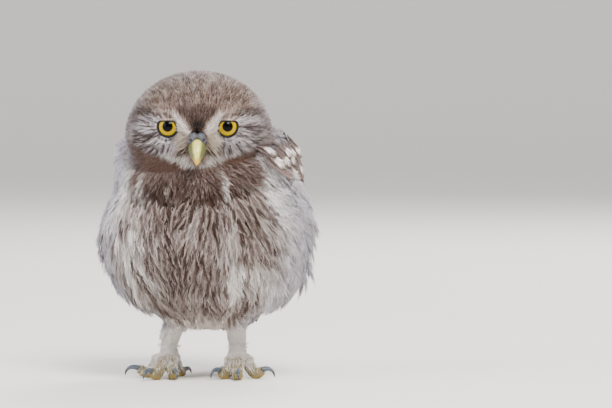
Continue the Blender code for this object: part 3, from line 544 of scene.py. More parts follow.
def crown_marks(q):
    """Brown crown with fine pale flecks, greyer at its edge, and drawn bluish grey at its edge and top as
    painted shade.
    """
    x, z = q[:, 0], q[:, 2]
    across = np.degrees(np.arctan2(x, z + 8.0))
    along = np.degrees(np.arctan2(q[:, 1], np.hypot(x, z)))
    fleck = smooth(0.5, 0.75, patches(across / 1.6, along / 1.9, 7.0))
    edge = smooth(22.0, 37.0, np.abs(x))
    warm = 0.6 - 0.3 * edge
    dark = 0.30 + 0.42 * smooth(0.45, 0.7, patches(across / 1.9, along / 2.3, 9.0)) - 0.2 * edge
    # Painted shade: bluish grey at the crown's edge and top
    cool_shade = 0.6 * edge + 0.25 * smooth(20.0, 34.0, z)
    return np.stack([0.36 * fleck + 0.12 * edge, warm, dark, cool_shade], axis=1)


# Soft areas of the underparts: angle, height, how wide and tall in degrees and mm, and how much browner
UNDERPARTS = (
    (27.0, 84.0, 9.0, 22.0, -0.50),
    (-44.0, 76.0, 13.0, 24.0, -0.22),
    (2.0, 88.0, 10.0, 10.0, -0.18),
    (12.0, 66.0, 12.0, 9.0, 0.35),
    (-24.0, 52.0, 15.0, 15.0, 0.32),
    (-10.0, 96.0, 24.0, 7.0, 0.35),
    (38.0, 44.0, 12.0, 8.0, 0.40),
    (58.0, 78.0, 8.0, 16.0, 0.20),
    (5.0, 36.0, 26.0, 6.0, -0.25),
)


def body_marks(points):
    """Warm collar, brown-streaked white underparts and brown back with pale tips."""
    angle, height = round_body(points)
    out = np.abs(angle)
    around = angle * 0.85
    streak = patches(around / 4.6 + 0.5 * np.sin(height / 9.0), height / 15.0, 21.0)
    tuft = patches(around / 7.0 + height / 40.0, height / 22.0, 27.0)
    above = height - collar_height(points)
    collar = smooth(-7.0, 5.0, above + 13.0 * (streak - 0.5) + 8.0 * (tuft - 0.5))
    shoulder = between(46.0, 60.0, 98.0, 112.0, out) * between(84.0, 94.0, 116.0, 126.0, height)
    collar *= 1.0 - 0.85 * shoulder
    back = smooth(92.0, 128.0, out)
    brown = 0.46 + 0.75 * (streak - 0.5) + 0.45 * (tuft - 0.5)
    brown += 0.46 * np.exp(-(((above + 11.0) / 15.0) ** 2)) * (1.0 - smooth(30.0, 56.0, out))
    for middle, level, wide, tall, more in UNDERPARTS:
        brown += more * np.exp(-(((angle - middle) / wide) ** 2) - ((height - level) / tall) ** 2)
    brown -= 0.62 * smooth(46.0, 74.0, out) * smooth(30.0, 56.0, height)
    brown *= 0.45 + 0.55 * smooth(28.0, 42.0, height)
    under_wing = wing_cover(points, 6.0)
    brown = brown * (1.0 - back) + (0.8 + 0.2 * streak) * back
    brown = np.clip(brown * (1.0 - under_wing) + 0.9 * under_wing, 0.0, 1.0)
    low = smooth(62.0, 36.0, height) * smooth(70.0, 45.0, out)
    warm = np.clip(0.9 * collar + 0.4 * back + 0.35 * brown + 0.5 * low, 0.0, 1.0) * (1.0 - 0.7 * shoulder)
    pale = np.clip(1.25 - 1.25 * brown - 0.95 * collar, 0.0, 1.0) + 0.6 * shoulder * (1.0 - under_wing)
    band = smooth(0.5, 0.7, patches(around / 9.0 + height / 30.0, height / 5.5, 33.0))
    band *= smooth(40.0, 52.0, out) * (1.0 - back) * (1.0 - under_wing)
    dark = brown * (1.0 - 0.5 * collar) + 0.12 * collar - 0.6 * shoulder + 0.3 * band
    dark = np.clip(dark, 0.0, 1.0)
    # Painted shade: bluish grey on the flanks, and a little all over the body
    cool_shade = 0.8 * smooth(44.0, 74.0, out) * (1.0 - back) + 0.12
    return np.stack([pale, warm, dark, cool_shade], axis=1)


def marks_at(points):
    q, reach = on_head(points)
    front = smooth(2.0, 12.0, -q[:, 1]) * (1.0 - smooth(13.5, 17.5, q[:, 2]))
    head = front[:, None] * face_marks(q) + (1.0 - front[:, None]) * crown_marks(q)
    share = (1.0 - smooth(1.03, 1.10, reach))[:, None]
    marks = share * head + (1.0 - share) * body_marks(points)
    leg = (1.0 - smooth(26.0, 31.0, points[:, 2] / MM))[:, None]
    return np.clip(marks * (1.0 - leg) + leg * np.array((1.0, 0.12, 0.0, 0.0)), 0.0, 1.0)


# Lie of the coat


def head_lie(points, normals):
    """Away from the bill over the whole head, and outward round each eye."""
    flow = unit(points - (HEAD + np.array((0.0, -34.0, -1.0)) * MM))
    behind = smooth(2.0, 26.0, (points - HEAD)[:, 1] / MM)[:, None]
    flow = unit(flow * (1.0 - 0.7 * behind) - UP * 1.6 * behind)
    for side in SIDES:
        offset = points - EYES[side]
        offset[:, 1] = 0.0
        distance = lengths(offset) / MM
        toward_bill = np.clip(-offset[:, 0] * side / MM / np.maximum(distance, 1e-6), 0.0, 1.0)
        weight = (np.exp(-((distance / 15.0) ** 4)) * (1.0 - toward_bill))[:, None]
        flow = flow * (1.0 - weight) + unit(offset) * weight
    return along_surface(flow, normals)


def body_lie(points, normals):
    """Down the body, spreading below the collar and out over the wing's front edge."""
    angle, height = round_body(points)
    around = np.cross(UP, along_axis(points))
    lead, _ = wing_edges(angle, height)
    spread = 0.55 * smooth(80.0, 108.0, height) * np.sin(np.radians(np.clip(angle * 1.3, -90.0, 90.0)))
    fringe = np.exp(-(((np.abs(angle) - lead + 4.0) / 9.0) ** 2)) * smooth(66.0, 86.0, height)
    drift = (patches(angle / 16.0, height / 22.0, 31.0) - 0.5) * 0.85
    aside = spread + drift + 0.8 * fringe * np.sign(angle) + 0.12
    way = -UP + around * aside[:, None] - FRONT * (0.35 * smooth(44.0, 30.0, height))[:, None]
    return along_surface(way, normals)


def along_axis(points):
    """Ways straight out from the body's axis."""
    offset = points - BODY_AXIS
    offset[:, 2] = 0.0
    return unit(offset)


def lie_at(points, normals):
    _, reach = on_head(points)
    share = (1.0 - smooth(1.02, 1.10, reach))[:, None]
    return unit(share * head_lie(points, normals) + (1.0 - share) * body_lie(points, normals))


# Making meshes and materials

# Kinds of nodes that come up often, and the settings that three of them always have
MATH, MIX, RANGE = "ShaderNodeMath", "ShaderNodeMix", "ShaderNodeMapRange"
NOISE, VORONOI, BUMP = "ShaderNodeTexNoise", "ShaderNodeTexVoronoi", "ShaderNodeBump"
PLACE, PARTS, ATTRIBUTE = "ShaderNodeTexCoord", "ShaderNodeSeparateXYZ", "ShaderNodeAttribute"
CARRIED, ALIGN = "GeometryNodeInputNamedAttribute", "FunctionNodeAlignRotationToVector"
ALWAYS = {
    MIX: {"data_type": "RGBA"},
    RANGE: {"interpolation_type": "SMOOTHSTEP"},
    CARRIED: {"data_type": "FLOAT_VECTOR"},
}


def out(node, name=None):
    """The node's first output in use, or the one of this name."""
    return next(s for s in node.outputs if s.enabled and (name is None or s.name == name))


def feed(node, inputs):
    """Sets or links inputs in use, given by name or in order. A node stands for its first output."""
    sockets = [s for s in node.inputs if s.enabled]
    for key, value in inputs.items() if isinstance(inputs, dict) else enumerate(inputs):
        socket = sockets[key] if isinstance(key, int) else next(s for s in sockets if s.name == key)
        value = out(value) if isinstance(value, bpy.types.Node) else value
        if isinstance(value, bpy.types.NodeSocket):
            node.id_data.links.new(value, socket)
        else:
            socket.default_value = value


def add_node(tree, kind, inputs=(), **settings):
    """Adds a node with its settings and inputs."""
    node = tree.nodes.new(kind)
    for name, value in {**ALWAYS.get(kind, {}), **settings}.items():
        setattr(node, name, value)
    feed(node, inputs)
    return node


def start_material(name, roughness, **constants):
    """A new Principled material with plain numbers on its shader, and the function that adds its nodes."""
    material = bpy.data.materials.new(name)
    material.use_nodes = True
    shader = material.node_tree.nodes["Principled BSDF"]
    shader.inputs["Roughness"].default_value = roughness
    for key, value in constants.items():
        shader.inputs[key.replace("_", " ")].default_value = value
    return material, partial(add_node, material.node_tree), shader


def new_object(name, data):
    """An object in the scene, with this mesh, light or camera."""
    piece = bpy.data.objects.new(name, data)
    bpy.context.scene.collection.objects.link(piece)
    return piece


# What each kind of layer calls its values
LAYER_VALUES = {"FLOAT": "value", "FLOAT_VECTOR": "vector", "FLOAT_COLOR": "color"}


def point_layer(mesh, name, kind, values):
    """Gives each point of the mesh a number, a way or a colour."""
    layer = mesh.attributes.new(name, kind, "POINT")
    layer.data.foreach_set(LAYER_VALUES[kind], np.asarray(values, dtype=np.float32).ravel())


def piece_from_arrays(name, material, points, corners, marks=None, tones=None, uv=None, uv_name="OFBake"):
    """A mesh piece from arrays of points and of faces with one count of corners."""
    mesh = bpy.data.meshes.new(name)
    count, size = corners.shape
    mesh.vertices.add(len(points))
    mesh.vertices.foreach_set("co", points.astype(np.float32).ravel())
    mesh.loops.add(count * size)
    mesh.loops.foreach_set("vertex_index", corners.astype(np.int32).ravel())
    mesh.polygons.add(count)
    mesh.polygons.foreach_set("loop_start", np.arange(0, count * size, size, dtype=np.int32))
    mesh.update(calc_edges=True)
    mesh.shade_smooth()
    if marks is not None:
        point_layer(mesh, "marks", "FLOAT_COLOR", marks)
    if tones is not None:
        point_layer(mesh, "tone", "FLOAT", tones)
    if uv is not None:
        layer = mesh.uv_layers.new(name=uv_name)
        layer.data.foreach_set("uv", uv[corners.ravel()].astype(np.float32).ravel())
    mesh.materials.append(material)
    return new_object(name, mesh)


def set_points(mesh, points):
    mesh.vertices.foreach_set("co", points.astype(np.float32).ravel())
    mesh.update()


def surfaced(piece, material):
    """Gives the whole piece this material and smooth shading."""
    piece.data.materials.clear()
    piece.data.materials.append(material)
    piece.data.shade_smooth()
    return piece


def settle(piece, slot, *nodes):
    """Rides on the body and stands for its CAD nodes, which it hides. The slot is not used."""
    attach(piece, "root")
    if nodes:
        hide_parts(*nodes)
    return piece


def evaluated_mesh(piece):
    """The piece's mesh with its modifiers worked in, and the modifiers gone."""
    bpy.context.view_layer.update()
    graph = bpy.context.evaluated_depsgraph_get()
    mesh = bpy.data.meshes.new_from_object(piece.evaluated_get(graph))
    piece.modifiers.clear()
    piece.data = mesh
    return mesh


# Points that lie closer than this are one: those of the CAD nodes' loose triangles, and those at poles
CAD_WELD, POLE_WELD = 2e-6, 1e-7


def merged_copy(name, nodes, grow=0.0):
    """One object from copies of CAD nodes, their loose triangles merged, each grown by a distance."""
    whole = bmesh.new()
    for node in nodes:
        part = bmesh.new()
        part.from_mesh(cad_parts[node].data)
        bmesh.ops.remove_doubles(part, verts=part.verts, dist=CAD_WELD)
        part.normal_update()
        for vertex in part.verts:
            vertex.co += vertex.normal * grow
        mesh = bpy.data.meshes.new("part")
        part.to_mesh(mesh)
        part.free()
        whole.from_mesh(mesh)
        bpy.data.meshes.remove(mesh)
    mesh = bpy.data.meshes.new(name)
    whole.to_mesh(mesh)
    whole.free()
    return new_object(name, mesh)


def tidy_faces(piece):
    """Merges points that meet, as at a pole, and turns the faces outward."""
    shape = bmesh.new()
    shape.from_mesh(piece.data)
    bmesh.ops.remove_doubles(shape, verts=shape.verts, dist=POLE_WELD)
    bmesh.ops.recalc_face_normals(shape, faces=shape.faces)
    shape.to_mesh(piece.data)
    shape.free()
    return piece


def remeshed(piece, grain, steps):
    """Turns the piece into one closed skin of even faces and smooths it."""
    shell = piece.modifiers.new("shell", "REMESH")
    shell.mode = "VOXEL"
    shell.voxel_size = grain
    soft = piece.modifiers.new("soft", "SMOOTH")
    soft.factor = 0.5
    soft.iterations = steps
    evaluated_mesh(piece)
    return piece


def point_arrays(mesh):
    count = len(mesh.vertices)
    points, normals = np.empty(count * 3), np.empty(count * 3)
    mesh.vertices.foreach_get("co", points)
    mesh.vertex_normals.foreach_get("vector", normals)
    return points.reshape(-1, 3), normals.reshape(-1, 3)


class Field:
    """A surface to scatter roots on, made of one or more meshes."""

    def __init__(self, *meshes):
        points, normals, corners, seen = [], [], [], 0
        for mesh in meshes:
            places, ways = point_arrays(mesh)
            mesh.calc_loop_triangles()
            triangles = np.empty(len(mesh.loop_triangles) * 3, dtype=np.int32)
            mesh.loop_triangles.foreach_get("vertices", triangles)
            points.append(places)
            normals.append(ways)
            corners.append(triangles.reshape(-1, 3) + seen)
            seen += len(places)
        self.points, self.normals = np.concatenate(points), np.concatenate(normals)
        self.corners = np.concatenate(corners)
        a, b, c = (self.points[self.corners[:, k]] for k in range(3))
        self.areas = lengths(np.cross(b - a, c - a)) / 2.0
        self.middles = (a + b + c) / 3.0
        self.middle_normals = unit(sum(self.normals[self.corners[:, k]] for k in range(3)))

    def scatter(self, count, weights, seed):
        """Roots spread evenly over the surface where the weights allow, with their normals."""
        draw = np.random.default_rng(seed)
        filled = np.cumsum(self.areas * weights)
        if filled[-1] <= 0.0:
            raise RuntimeError("a part of the coat has no skin to grow on")
        levels = (np.arange(count) + draw.random(count)) / count * filled[-1]
        chosen = self.corners[np.searchsorted(filled, levels)]
        u, v = draw.random(count), draw.random(count)
        over = u + v > 1.0
        u[over], v[over] = 1.0 - u[over], 1.0 - v[over]
        shares = np.stack([1.0 - u - v, u, v], axis=1)[:, :, None]
        roots = np.sum(self.points[chosen] * shares, axis=1)
        return roots, unit(np.sum(self.normals[chosen] * shares, axis=1))


# Skin


def coat_depth(points, sizes):
    """How far the skin lies inside the outline."""
    q, reach = on_head(points)
    face = smooth(4.0, 14.0, -q[:, 1]) * (1.0 - smooth(13.0, 18.0, q[:, 2]))
    head = sizes.crown_depth * (1.0 - face) + sizes.face_depth * face
    head = head * (0.35 + 0.65 * smooth(9.5, 14.0, eye_distance(points)))
    head = head - sizes.brow_rise * near_line(np.abs(q[:, 0]), q[:, 2], BROW, 2.6) * face
    height = points[:, 2] / MM
    collar = smooth(-8.0, 4.0, height - collar_height(points))
    body = sizes.body_depth * (1.0 - collar) + sizes.collar_depth * collar
    body *= 1.0 - 0.72 * wing_cover(points, 0.0)
    body = body - WING_FILL * MM * wing_filled(points)
    share = 1.0 - smooth(1.02, 1.12, reach)
    depth = head * share + body * (1.0 - share)
    leg = 1.0 - smooth(27.0, 34.0, height)
    return depth * (1.0 - leg) + sizes.leg_depth * leg


def add_ball(shape, middle, radii):
    """Adds a ball with these radii in millimetres."""
    place = Matrix.Translation(Vector(middle)) @ Matrix.Diagonal((*[r * MM for r in radii], 1.0))
    bmesh.ops.create_uvsphere(shape, u_segments=24, v_segments=16, radius=1.0, matrix=place)


# The nodes under the coat, how far each grows so that they fuse, and how bright the skin's colours are:
# darker than the coat, as painted shade in the gaps between the feathers
FLESH = ("head", "neck", "torso", "leg_left", "leg_right")
FUSE = 0.5 * MM
SKIN_SHADED_TONE = 0.72


def down_colour(add, colours):
    """The markings' shares turned to colours, the same for skin and coat."""
    marks = add(ATTRIBUTE, attribute_name="marks")
    tone = add(ATTRIBUTE, attribute_name="tone")
    shares = add("ShaderNodeSeparateColor", (marks,))
    light, warm, dark = (out(shares, name) for name in ("Red", "Green", "Blue"))
    cool_shade = out(marks, "Alpha")
    colour = add(MIX, (warm, colours.down_ground, colours.down_warm))
    # Painted shade: the cool share turns the down bluish grey
    colour = add(MIX, (cool_shade, colour, colours.down_cool_shade))
    pale = add(MIX, (warm, colours.down_pale, colours.down_beige))
    pale = add(MIX, (cool_shade, pale, colours.down_cool_shade))
    colour = add(MIX, (light, colour, pale))
    colour = add(MIX, (dark, colour, colours.down_dark))
    return add("ShaderNodeHueSaturation", {"Color": colour, "Value": out(tone, "Fac")})


def down_material(colours):
    """Loose down: fine keratin barbs with no gloss, which scatter light softly at their edges."""
    material, add, shader = start_material(
        "soft keratin down", 0.88, Specular_IOR_Level=0.12, Sheen_Weight=0.08, Sheen_Roughness=0.5
    )
    feed(shader, {"Base Color": down_colour(add, colours)})
    return material


def skin_material(colours):
    """Short underdown on the skin: the coat's colours, matt, with a nap of barbs a millimetre across. The
    tone that the skin carries darkens them as painted shade between the feathers.
    """
    material, add, shader = start_material("felted underdown", 0.95, Specular_IOR_Level=0.1)
    place = out(add(PLACE), "Object")
    nap = add(NOISE, {"Vector": place, "Scale": 1.0 / (1.2 * MM), "Detail": 3.0})
    relief = add(BUMP, {"Height": out(nap, "Fac"), "Distance": 0.6 * MM, "Strength": 0.7})
    feed(shader, {"Base Color": down_colour(add, colours), "Normal": relief})
    return material


class OWL_OT_skin(bpy.types.Operator):
    """Make the one skin that lies under the whole coat"""

    bl_idname = "owl.skin"
    bl_label = "Skin"

    def execute(self, context):
        sizes, colours = context.scene.owl_sizes, context.scene.owl_colours
        skin = merged_copy("skin", FLESH, FUSE)
        whole = bmesh.new()
        whole.from_mesh(skin.data)
        for side in SIDES:
            add_ball(whole, EYES[side], (EYE_PLUG, EYE_PLUG, EYE_PLUG))
        add_ball(whole, HEAD + np.array(BILL_PLUG_AT) * MM, BILL_PLUG)
        for word in SIDES.values():
            ankle = middle_of("foot_" + word)
            ankle[2] = (ANKLE_HEIGHT - ANKLE_DROP) * MM
            add_ball(whole, ankle, ANKLE_PLUG)
        whole.to_mesh(skin.data)
        whole.free()
        remeshed(skin, sizes.skin_grain, steps=5)
        points, normals = point_arrays(skin.data)
        set_points(skin.data, points - normals * (FUSE + coat_depth(points, sizes))[:, None])
        soft = skin.modifiers.new("soft", "SMOOTH")
        soft.iterations = 3
        mesh = evaluated_mesh(skin)
        points, _ = point_arrays(mesh)
        point_layer(mesh, "marks", "FLOAT_COLOR", marks_at(points))
        # The skin's colours are darkened as painted shade in the gaps between the feathers
        point_layer(mesh, "tone", "FLOAT", np.full(len(points), SKIN_SHADED_TONE))
        settle(surfaced(skin, skin_material(colours)), "body_down", *FLESH)
        return {"FINISHED"}


# Coat


def in_piece(name, points):
    """1 where this piece of the coat grows. Every place on the skin belongs to one piece."""
    q, reach = on_head(points)
    angle, height = round_body(points)
    head = reach < HEAD_END
    rear = q[:, 1] > 12.0
    lower_front = (q[:, 2] < 14.5) & (q[:, 1] < -4.0)
    legs = height < LEGS_TO
    ragged = 11.0 * (patches(angle / 6.5, height / 24.0, 27.0) - 0.5)
    collar = ~head & (height > collar_height(points) - 6.0 + ragged)
    body = ~head & ~collar & ~legs
    back = np.abs(angle) > BACK_FROM
    high = height > BREAST_FROM
    face = head & ~rear & lower_front
    tests = {
        "down_crown": head & ~rear & ~lower_front,
        "down_nape": head & rear,
        "down_face_left": face & (q[:, 0] >= 0.0),
        "down_face_right": face & (q[:, 0] < 0.0),
        "down_collar": collar,
        "down_breast_left": body & ~back & high & (angle >= 0.0),
        "down_breast_right": body & ~back & high & (angle < 0.0),
        "down_belly_left": body & ~back & ~high & (angle >= 0.0),
        "down_belly_right": body & ~back & ~high & (angle < 0.0),
        "down_back": body & back & high,
        "down_rump": body & back & ~high,
        "down_legs": legs,
    }
    bill = np.hypot(q[:, 0] / 3.7, (q[:, 2] + 3.6) / 6.6) < 1.0
    on_lid = (eye_distance(points) < LID_OUTER + 0.15) & (past_lid_edge(points) > LID_RIM)
    open_skin = (eye_distance(points) > 8.9) | on_lid
    open_skin &= ~(bill & head & (q[:, 1] < -20.0)) & ~(legs & (height < ANKLE_HEIGHT - 1.2))
    return (tests[name] & open_skin & (wing_cover(points, 12.0) < 0.5)).astype(float)


def unwrapped(name, points):
    """Where roots lie on the skin laid flat: angle round the head, body or leg, and angle or height up it."""
    if name in HEAD_PIECES:
        centre, front = HEAD, np.array((0.0, -1.0, 0.0))
        if name == "down_nape":
            front = -front
    elif name in ("down_legs", TOE_COAT.name):
        side = np.where(points[:, 0] > 0.0, 1.0, -1.0)
        roots = np.where(side[:, None] > 0.0, middle_of("leg_left"), middle_of("leg_right"))
        offset = points - roots
        turn = np.arctan2(offset[:, 0], -offset[:, 1]) / math.tau
        return framed(np.stack([turn + 1.05 * side / 2.0, points[:, 2] * 30.0], axis=1))
    else:
        centre, front = BODY_AXIS + UP * 75.0 * MM, FRONT
        if name in ("down_back", "down_rump"):
            front = -front
    offset = unit(points - centre)
    side = np.cross(front, UP)
    turn = np.arctan2(offset @ side, offset @ front) / math.tau
    return framed(np.stack([turn, np.arcsin(np.clip(offset[:, 2], -1.0, 1.0)) / math.pi], axis=1))


def framed(places):
    low, high = places.min(axis=0), places.max(axis=0)
    return 0.01 + 0.98 * (places - low) / np.maximum(high - low, 1e-9)


# Faces of a barb with one or two rings of three corners under its tip
BARB_FACES = {
    1: ((0, 2, 1), (0, 1, 3), (1, 2, 3), (2, 0, 3)),
    2: (
        *((0, 2, 1), (0, 1, 4), (0, 4, 3), (1, 2, 5), (1, 5, 4)),
        *((2, 0, 3), (2, 3, 5), (3, 4, 6), (4, 5, 6), (5, 3, 6)),
    ),
}
# Bake places: half the size of a barb's patch, and how far apart patches lie for each metre on the bird
BAKE_PATCH, BAKE_SPREAD = 0.0015, 1.2
# How much paler a feather's tips are
TIP_PALER = {"head_down": 0.10, "collar_down": 0.10, "body_down": 0.16, "leg_down": 0.0}


def feather_scale(coat, roots):
    """Feathers are smallest round the eyes and bill, and short under the belly."""
    if coat.name in FACE_PIECES:
        q, _ = on_head(roots)
        near_bill = np.hypot(q[:, 0] / 8.0, (q[:, 2] + 3.0) / 9.0)
        near_eye = smooth(7.0, 13.0, eye_distance(roots))
        return (0.68 + 0.32 * near_eye) * (0.62 + 0.38 * smooth(0.6, 1.4, near_bill))
    height = roots[:, 2] / MM
    if coat.slot == "body_down":
        return 0.55 + 0.45 * smooth(28.0, 50.0, height)
    return np.ones(len(roots))


def needles(places, thick, outs):
    """Closed three-sided barbs through places from root to tip: points, faces and the points in each."""
    ways = unit(places[-1] - places[0])
    edge = unit(np.cross(outs, ways))
    deep = np.cross(ways, edge)
    rings = len(places) - 1
    corners = []
    for place, wide in zip(places[:-1], (0.75, 1.0) if rings == 2 else (1.0,)):
        half = (thick * wide / 2.0)[..., None]
        corners += [place + edge * half, place - edge * half, place - deep * half * 1.1]
    corners.append(places[-1])
    size = len(corners)
    firsts = np.arange(thick.size)[:, None, None] * size
    faces = (firsts + np.array(BARB_FACES[rings])[None]).reshape(-1, 3)
    return np.stack(corners, axis=2).reshape(-1, 3), faces, size


def bake_places(flat, aside, ahead, size):
    """Bake places of the barbs: a patch for each, set out round the feather's root on the unwrapped skin."""
    cells = np.array(((-1, -1), (1, -1), (0, -0.8), (-1, 0), (1, 0), (0, 0.2)))[: size - 1]
    cells = np.concatenate([cells, ((0, 1),)]) * BAKE_PATCH
    spread_out = np.stack([aside, ahead], axis=2)
    uv = flat[:, None, None] + spread_out[:, :, None] * BAKE_SPREAD + cells
    return np.clip(uv.reshape(-1, 2), 0.0, 1.0)


def down_arrays(coat, roots, normals, lies, flat):
    """Points, faces, markings, tones and bake places of feathers, each a lock of barbs along its shaft."""
    draw = np.random.default_rng(coat.seed + 100)
    feathers, barbs = len(roots), coat.barbs
    shape = (feathers, barbs)
    across = np.cross(normals, lies)
    scale = feather_scale(coat, roots)
    length = coat.length * MM * scale * draw.uniform(0.78, 1.15, feathers)
    width = coat.half_width * MM * (0.5 + 0.5 * scale) * draw.uniform(0.75, 1.2, feathers)
    lift = coat.lift * MM * scale * draw.uniform(0.5, 1.08, feathers)
    bend = draw.normal(0.0, 0.14, feathers)
    start = np.tile(np.linspace(0.0, 1.0, barbs), (feathers, 1)) + draw.uniform(-0.5, 0.5, shape) / barbs
    start = start if barbs > 1 else np.zeros(shape)
    lateral = draw.uniform(-1.0, 1.0, shape)
    head_barb = 1.0 if barbs == 1 else 0.45
    run = (head_barb - 0.12 * lateral**2) * draw.uniform(0.9, 1.1, shape)
    stray = np.abs(draw.normal(0.0, 0.5, shape)) * coat.loose * MM
    thick = coat.thick * MM * draw.uniform(0.75, 1.2, shape)
    radius = (HEAD_BEND if coat.name in HEAD_PIECES else BODY_BEND) * MM
    places = []
    for t in (0.0, 0.5, 1.0) if coat.rings == 2 else (0.0, 1.0):
        share = start * 0.55 + run * t
        ahead = share * length[:, None]
        full = np.sqrt(np.clip(1.0 - np.clip(share, 0.0, 1.0) ** 3, 0.03, 1.0))
        full = full * np.minimum(1.0, 0.3 + 2.5 * share)
        aside = lateral * width[:, None] * full * min(1.0, 0.25 + 1.5 * t)
        aside = aside + bend[:, None] * ahead * share
        rise = lift[:, None] * (1.0 - np.exp(-3.4 * share)) + stray * t**2 - 0.35 * MM * (1.0 - t)
        rise = rise - 0.8 * ahead**2 / (2.0 * radius) - 0.22 * width[:, None] * lateral**2 * t
        place = roots[:, None] + lies[:, None] * ahead[..., None]
        places.append(place + across[:, None] * aside[..., None] + normals[:, None] * rise[..., None])
    points, faces, size = needles(places, thick, np.broadcast_to(normals[:, None], places[0].shape))
    marks = barb_marks(coat, roots, start, np.abs(lateral), draw)
    marks = np.repeat(marks[:, :, None], size, axis=2)
    outward = np.array([0.0] * (size - 1) + [1.0]) if size == 4 else np.array([0.0] * 3 + [0.6] * 3 + [1.0])
    marks[..., 0] += TIP_PALER[coat.slot] * outward
    uneven = 0.16 if coat.slot == "head_down" else 0.08
    tone = draw.uniform(1.0 - uneven, 1.0 + uneven, feathers)[:, None] * draw.uniform(0.93, 1.06, shape)
    # The legs' down is drawn brighter: painted light that stands for light thrown up from the floor under the
    # body
    tone = tone * face_shade(roots)[:, None] * (1.12 if coat.slot == "leg_down" else 1.0)
    # Barbs are darker at the root than at the tip: painted shade deep in the coat
    tone = tone[..., None] * (0.78 + 0.27 * outward)
    uv = bake_places(flat, lateral * width[:, None], start * length[:, None], size)
    return points, faces, np.clip(marks.reshape(-1, 4), 0.0, 1.0), tone.ravel(), uv


def barb_marks(coat, roots, start, lateral, draw):
    """Each feather is brown along its middle and paler at its edges, as far as its place allows."""
    base = marks_at(roots)[:, None]
    marks = np.broadcast_to(base, (*start.shape, 4)).copy()
    one = (len(roots), 1)
    if coat.slot == "leg_down":
        return marks
    edge = smooth(0.38, 0.66, lateral)
    if coat.slot == "body_down":
        brown = np.clip(base[..., 2] * draw.uniform(0.55, 1.5, one) + draw.normal(0.0, 0.10, one), 0.0, 1.0)
        marks[..., 2] = brown * (1.0 - 0.85 * edge)
        marks[..., 0] = np.clip(1.0 - 1.5 * brown, 0.0, 1.0) * (1.0 - edge) + edge * (1.0 - 0.62 * brown)
        marks[..., 0] *= np.maximum(base[..., 0], 0.35)
    elif coat.slot == "collar_down":
        marks[..., 0] += 0.25 * (draw.random(one) > 0.7)
        marks[..., 2] = marks[..., 2] * draw.uniform(0.4, 1.6, one) + 0.4 * (draw.random(one) > 0.8)
    elif coat.name in FACE_PIECES:
        marks[..., 2] = marks[..., 2] * draw.uniform(0.4, 1.5, one) + 0.5 * (draw.random(one) > 0.84)
        marks[..., 0] *= draw.uniform(0.45, 1.25, one)
    else:
        marks[..., 0] += 0.26 * (draw.random(one) > 0.62)
        marks[..., 2] *= draw.uniform(0.5, 1.5, one)
    return np.clip(marks, 0.0, 1.0)


class OWL_OT_coat(bpy.types.Operator):
    """Grow the down on the skin, piece by piece"""

    bl_idname = "owl.coat"
    bl_label = "Down"

    def execute(self, context):
        sizes, colours = context.scene.owl_sizes, context.scene.owl_colours
        lids = [bpy.data.objects["lids_" + word].data for word in SIDES.values()]
        field = Field(bpy.data.objects["skin"].data, *lids)
        material = down_material(colours)
        for coat in COATS:
            weights = in_piece(coat.name, field.middles)
            count = max(8, int(coat.feathers * sizes.coat_density))
            roots, normals = field.scatter(count, weights, coat.seed)
            lies, flat = lie_at(roots, normals), unwrapped(coat.name, roots)
            arrays = down_arrays(coat, roots, normals, lies, flat)
            settle(piece_from_arrays(coat.name, material, *arrays), coat.slot)
        return {"FINISHED"}


# Wings and tail

# Distance from the body's axis, in metres, that lies outside the whole bird
FAR = 0.2


class BodyTable:
    """The solid body's distance from its axis, by angle and height, read from the frame once."""

    def __init__(self):
        body = merged_copy("body_probe", ("torso", "neck"))
        tree = BVHTree.FromObject(body, bpy.context.evaluated_depsgraph_get())
        self.angles = np.radians(np.arange(-180.0, 180.1, 5.0))
        self.heights = np.arange(30.0, 134.1, 2.0) * MM
        self.reach = np.zeros((len(self.angles), len(self.heights)))
        for i, angle in enumerate(self.angles):
            way = FRONT * math.cos(angle) + LEFT * math.sin(angle)
            for j, height in enumerate(self.heights):
                far = BODY_AXIS * (1.0, 1.0, 0.0) + UP * height + way * FAR
                hit = tree.ray_cast(Vector(far), Vector(-way))
                self.reach[i, j] = FAR - hit[3] if hit[0] else self.reach[i, max(j - 1, 0)]
        bpy.data.objects.remove(body)
        for _ in range(2):
            inner = self.reach[1:-1, 1:-1] * 2.0 + self.reach[:-2, 1:-1] + self.reach[2:, 1:-1]
            self.reach[1:-1, 1:-1] = (inner + self.reach[1:-1, :-2] + self.reach[1:-1, 2:]) / 6.0

    def place(self, angle, height, lift):
        """Points at these angles (degrees) and heights (mm), lifted off the body (mm), with outward ways."""
        turn = np.radians(angle)
        i = np.interp(turn, self.angles, np.arange(len(self.angles)))
        j = np.interp(height * MM, self.heights, np.arange(len(self.heights)))
        i0 = np.minimum(i.astype(int), len(self.angles) - 2)
        j0 = np.minimum(j.astype(int), len(self.heights) - 2)
        u, v = i - i0, j - j0
        low = self.reach[i0, j0] * (1.0 - u) + self.reach[i0 + 1, j0] * u
        high = self.reach[i0, j0 + 1] * (1.0 - u) + self.reach[i0 + 1, j0 + 1] * u
        reach = low * (1.0 - v) + high * v
        slope = (high - low) / (self.heights[1] - self.heights[0])
        way = np.cos(turn)[..., None] * FRONT + np.sin(turn)[..., None] * LEFT
        normal = unit(way - UP * slope[..., None])
        flat = BODY_AXIS * (1.0, 1.0, 0.0) + way * reach[..., None] + UP * (height * MM)[..., None]
        return flat + normal * (lift * MM)[..., None], normal


# Vanes: points along and across each, and how many ridges and grooves of barbs lie along it. They are one or
# two millimetres apart, wider than real ones, so that they show.
VANE_STATIONS, VANE_COLUMNS = 13, 9
VANE_BARBS = 60.0


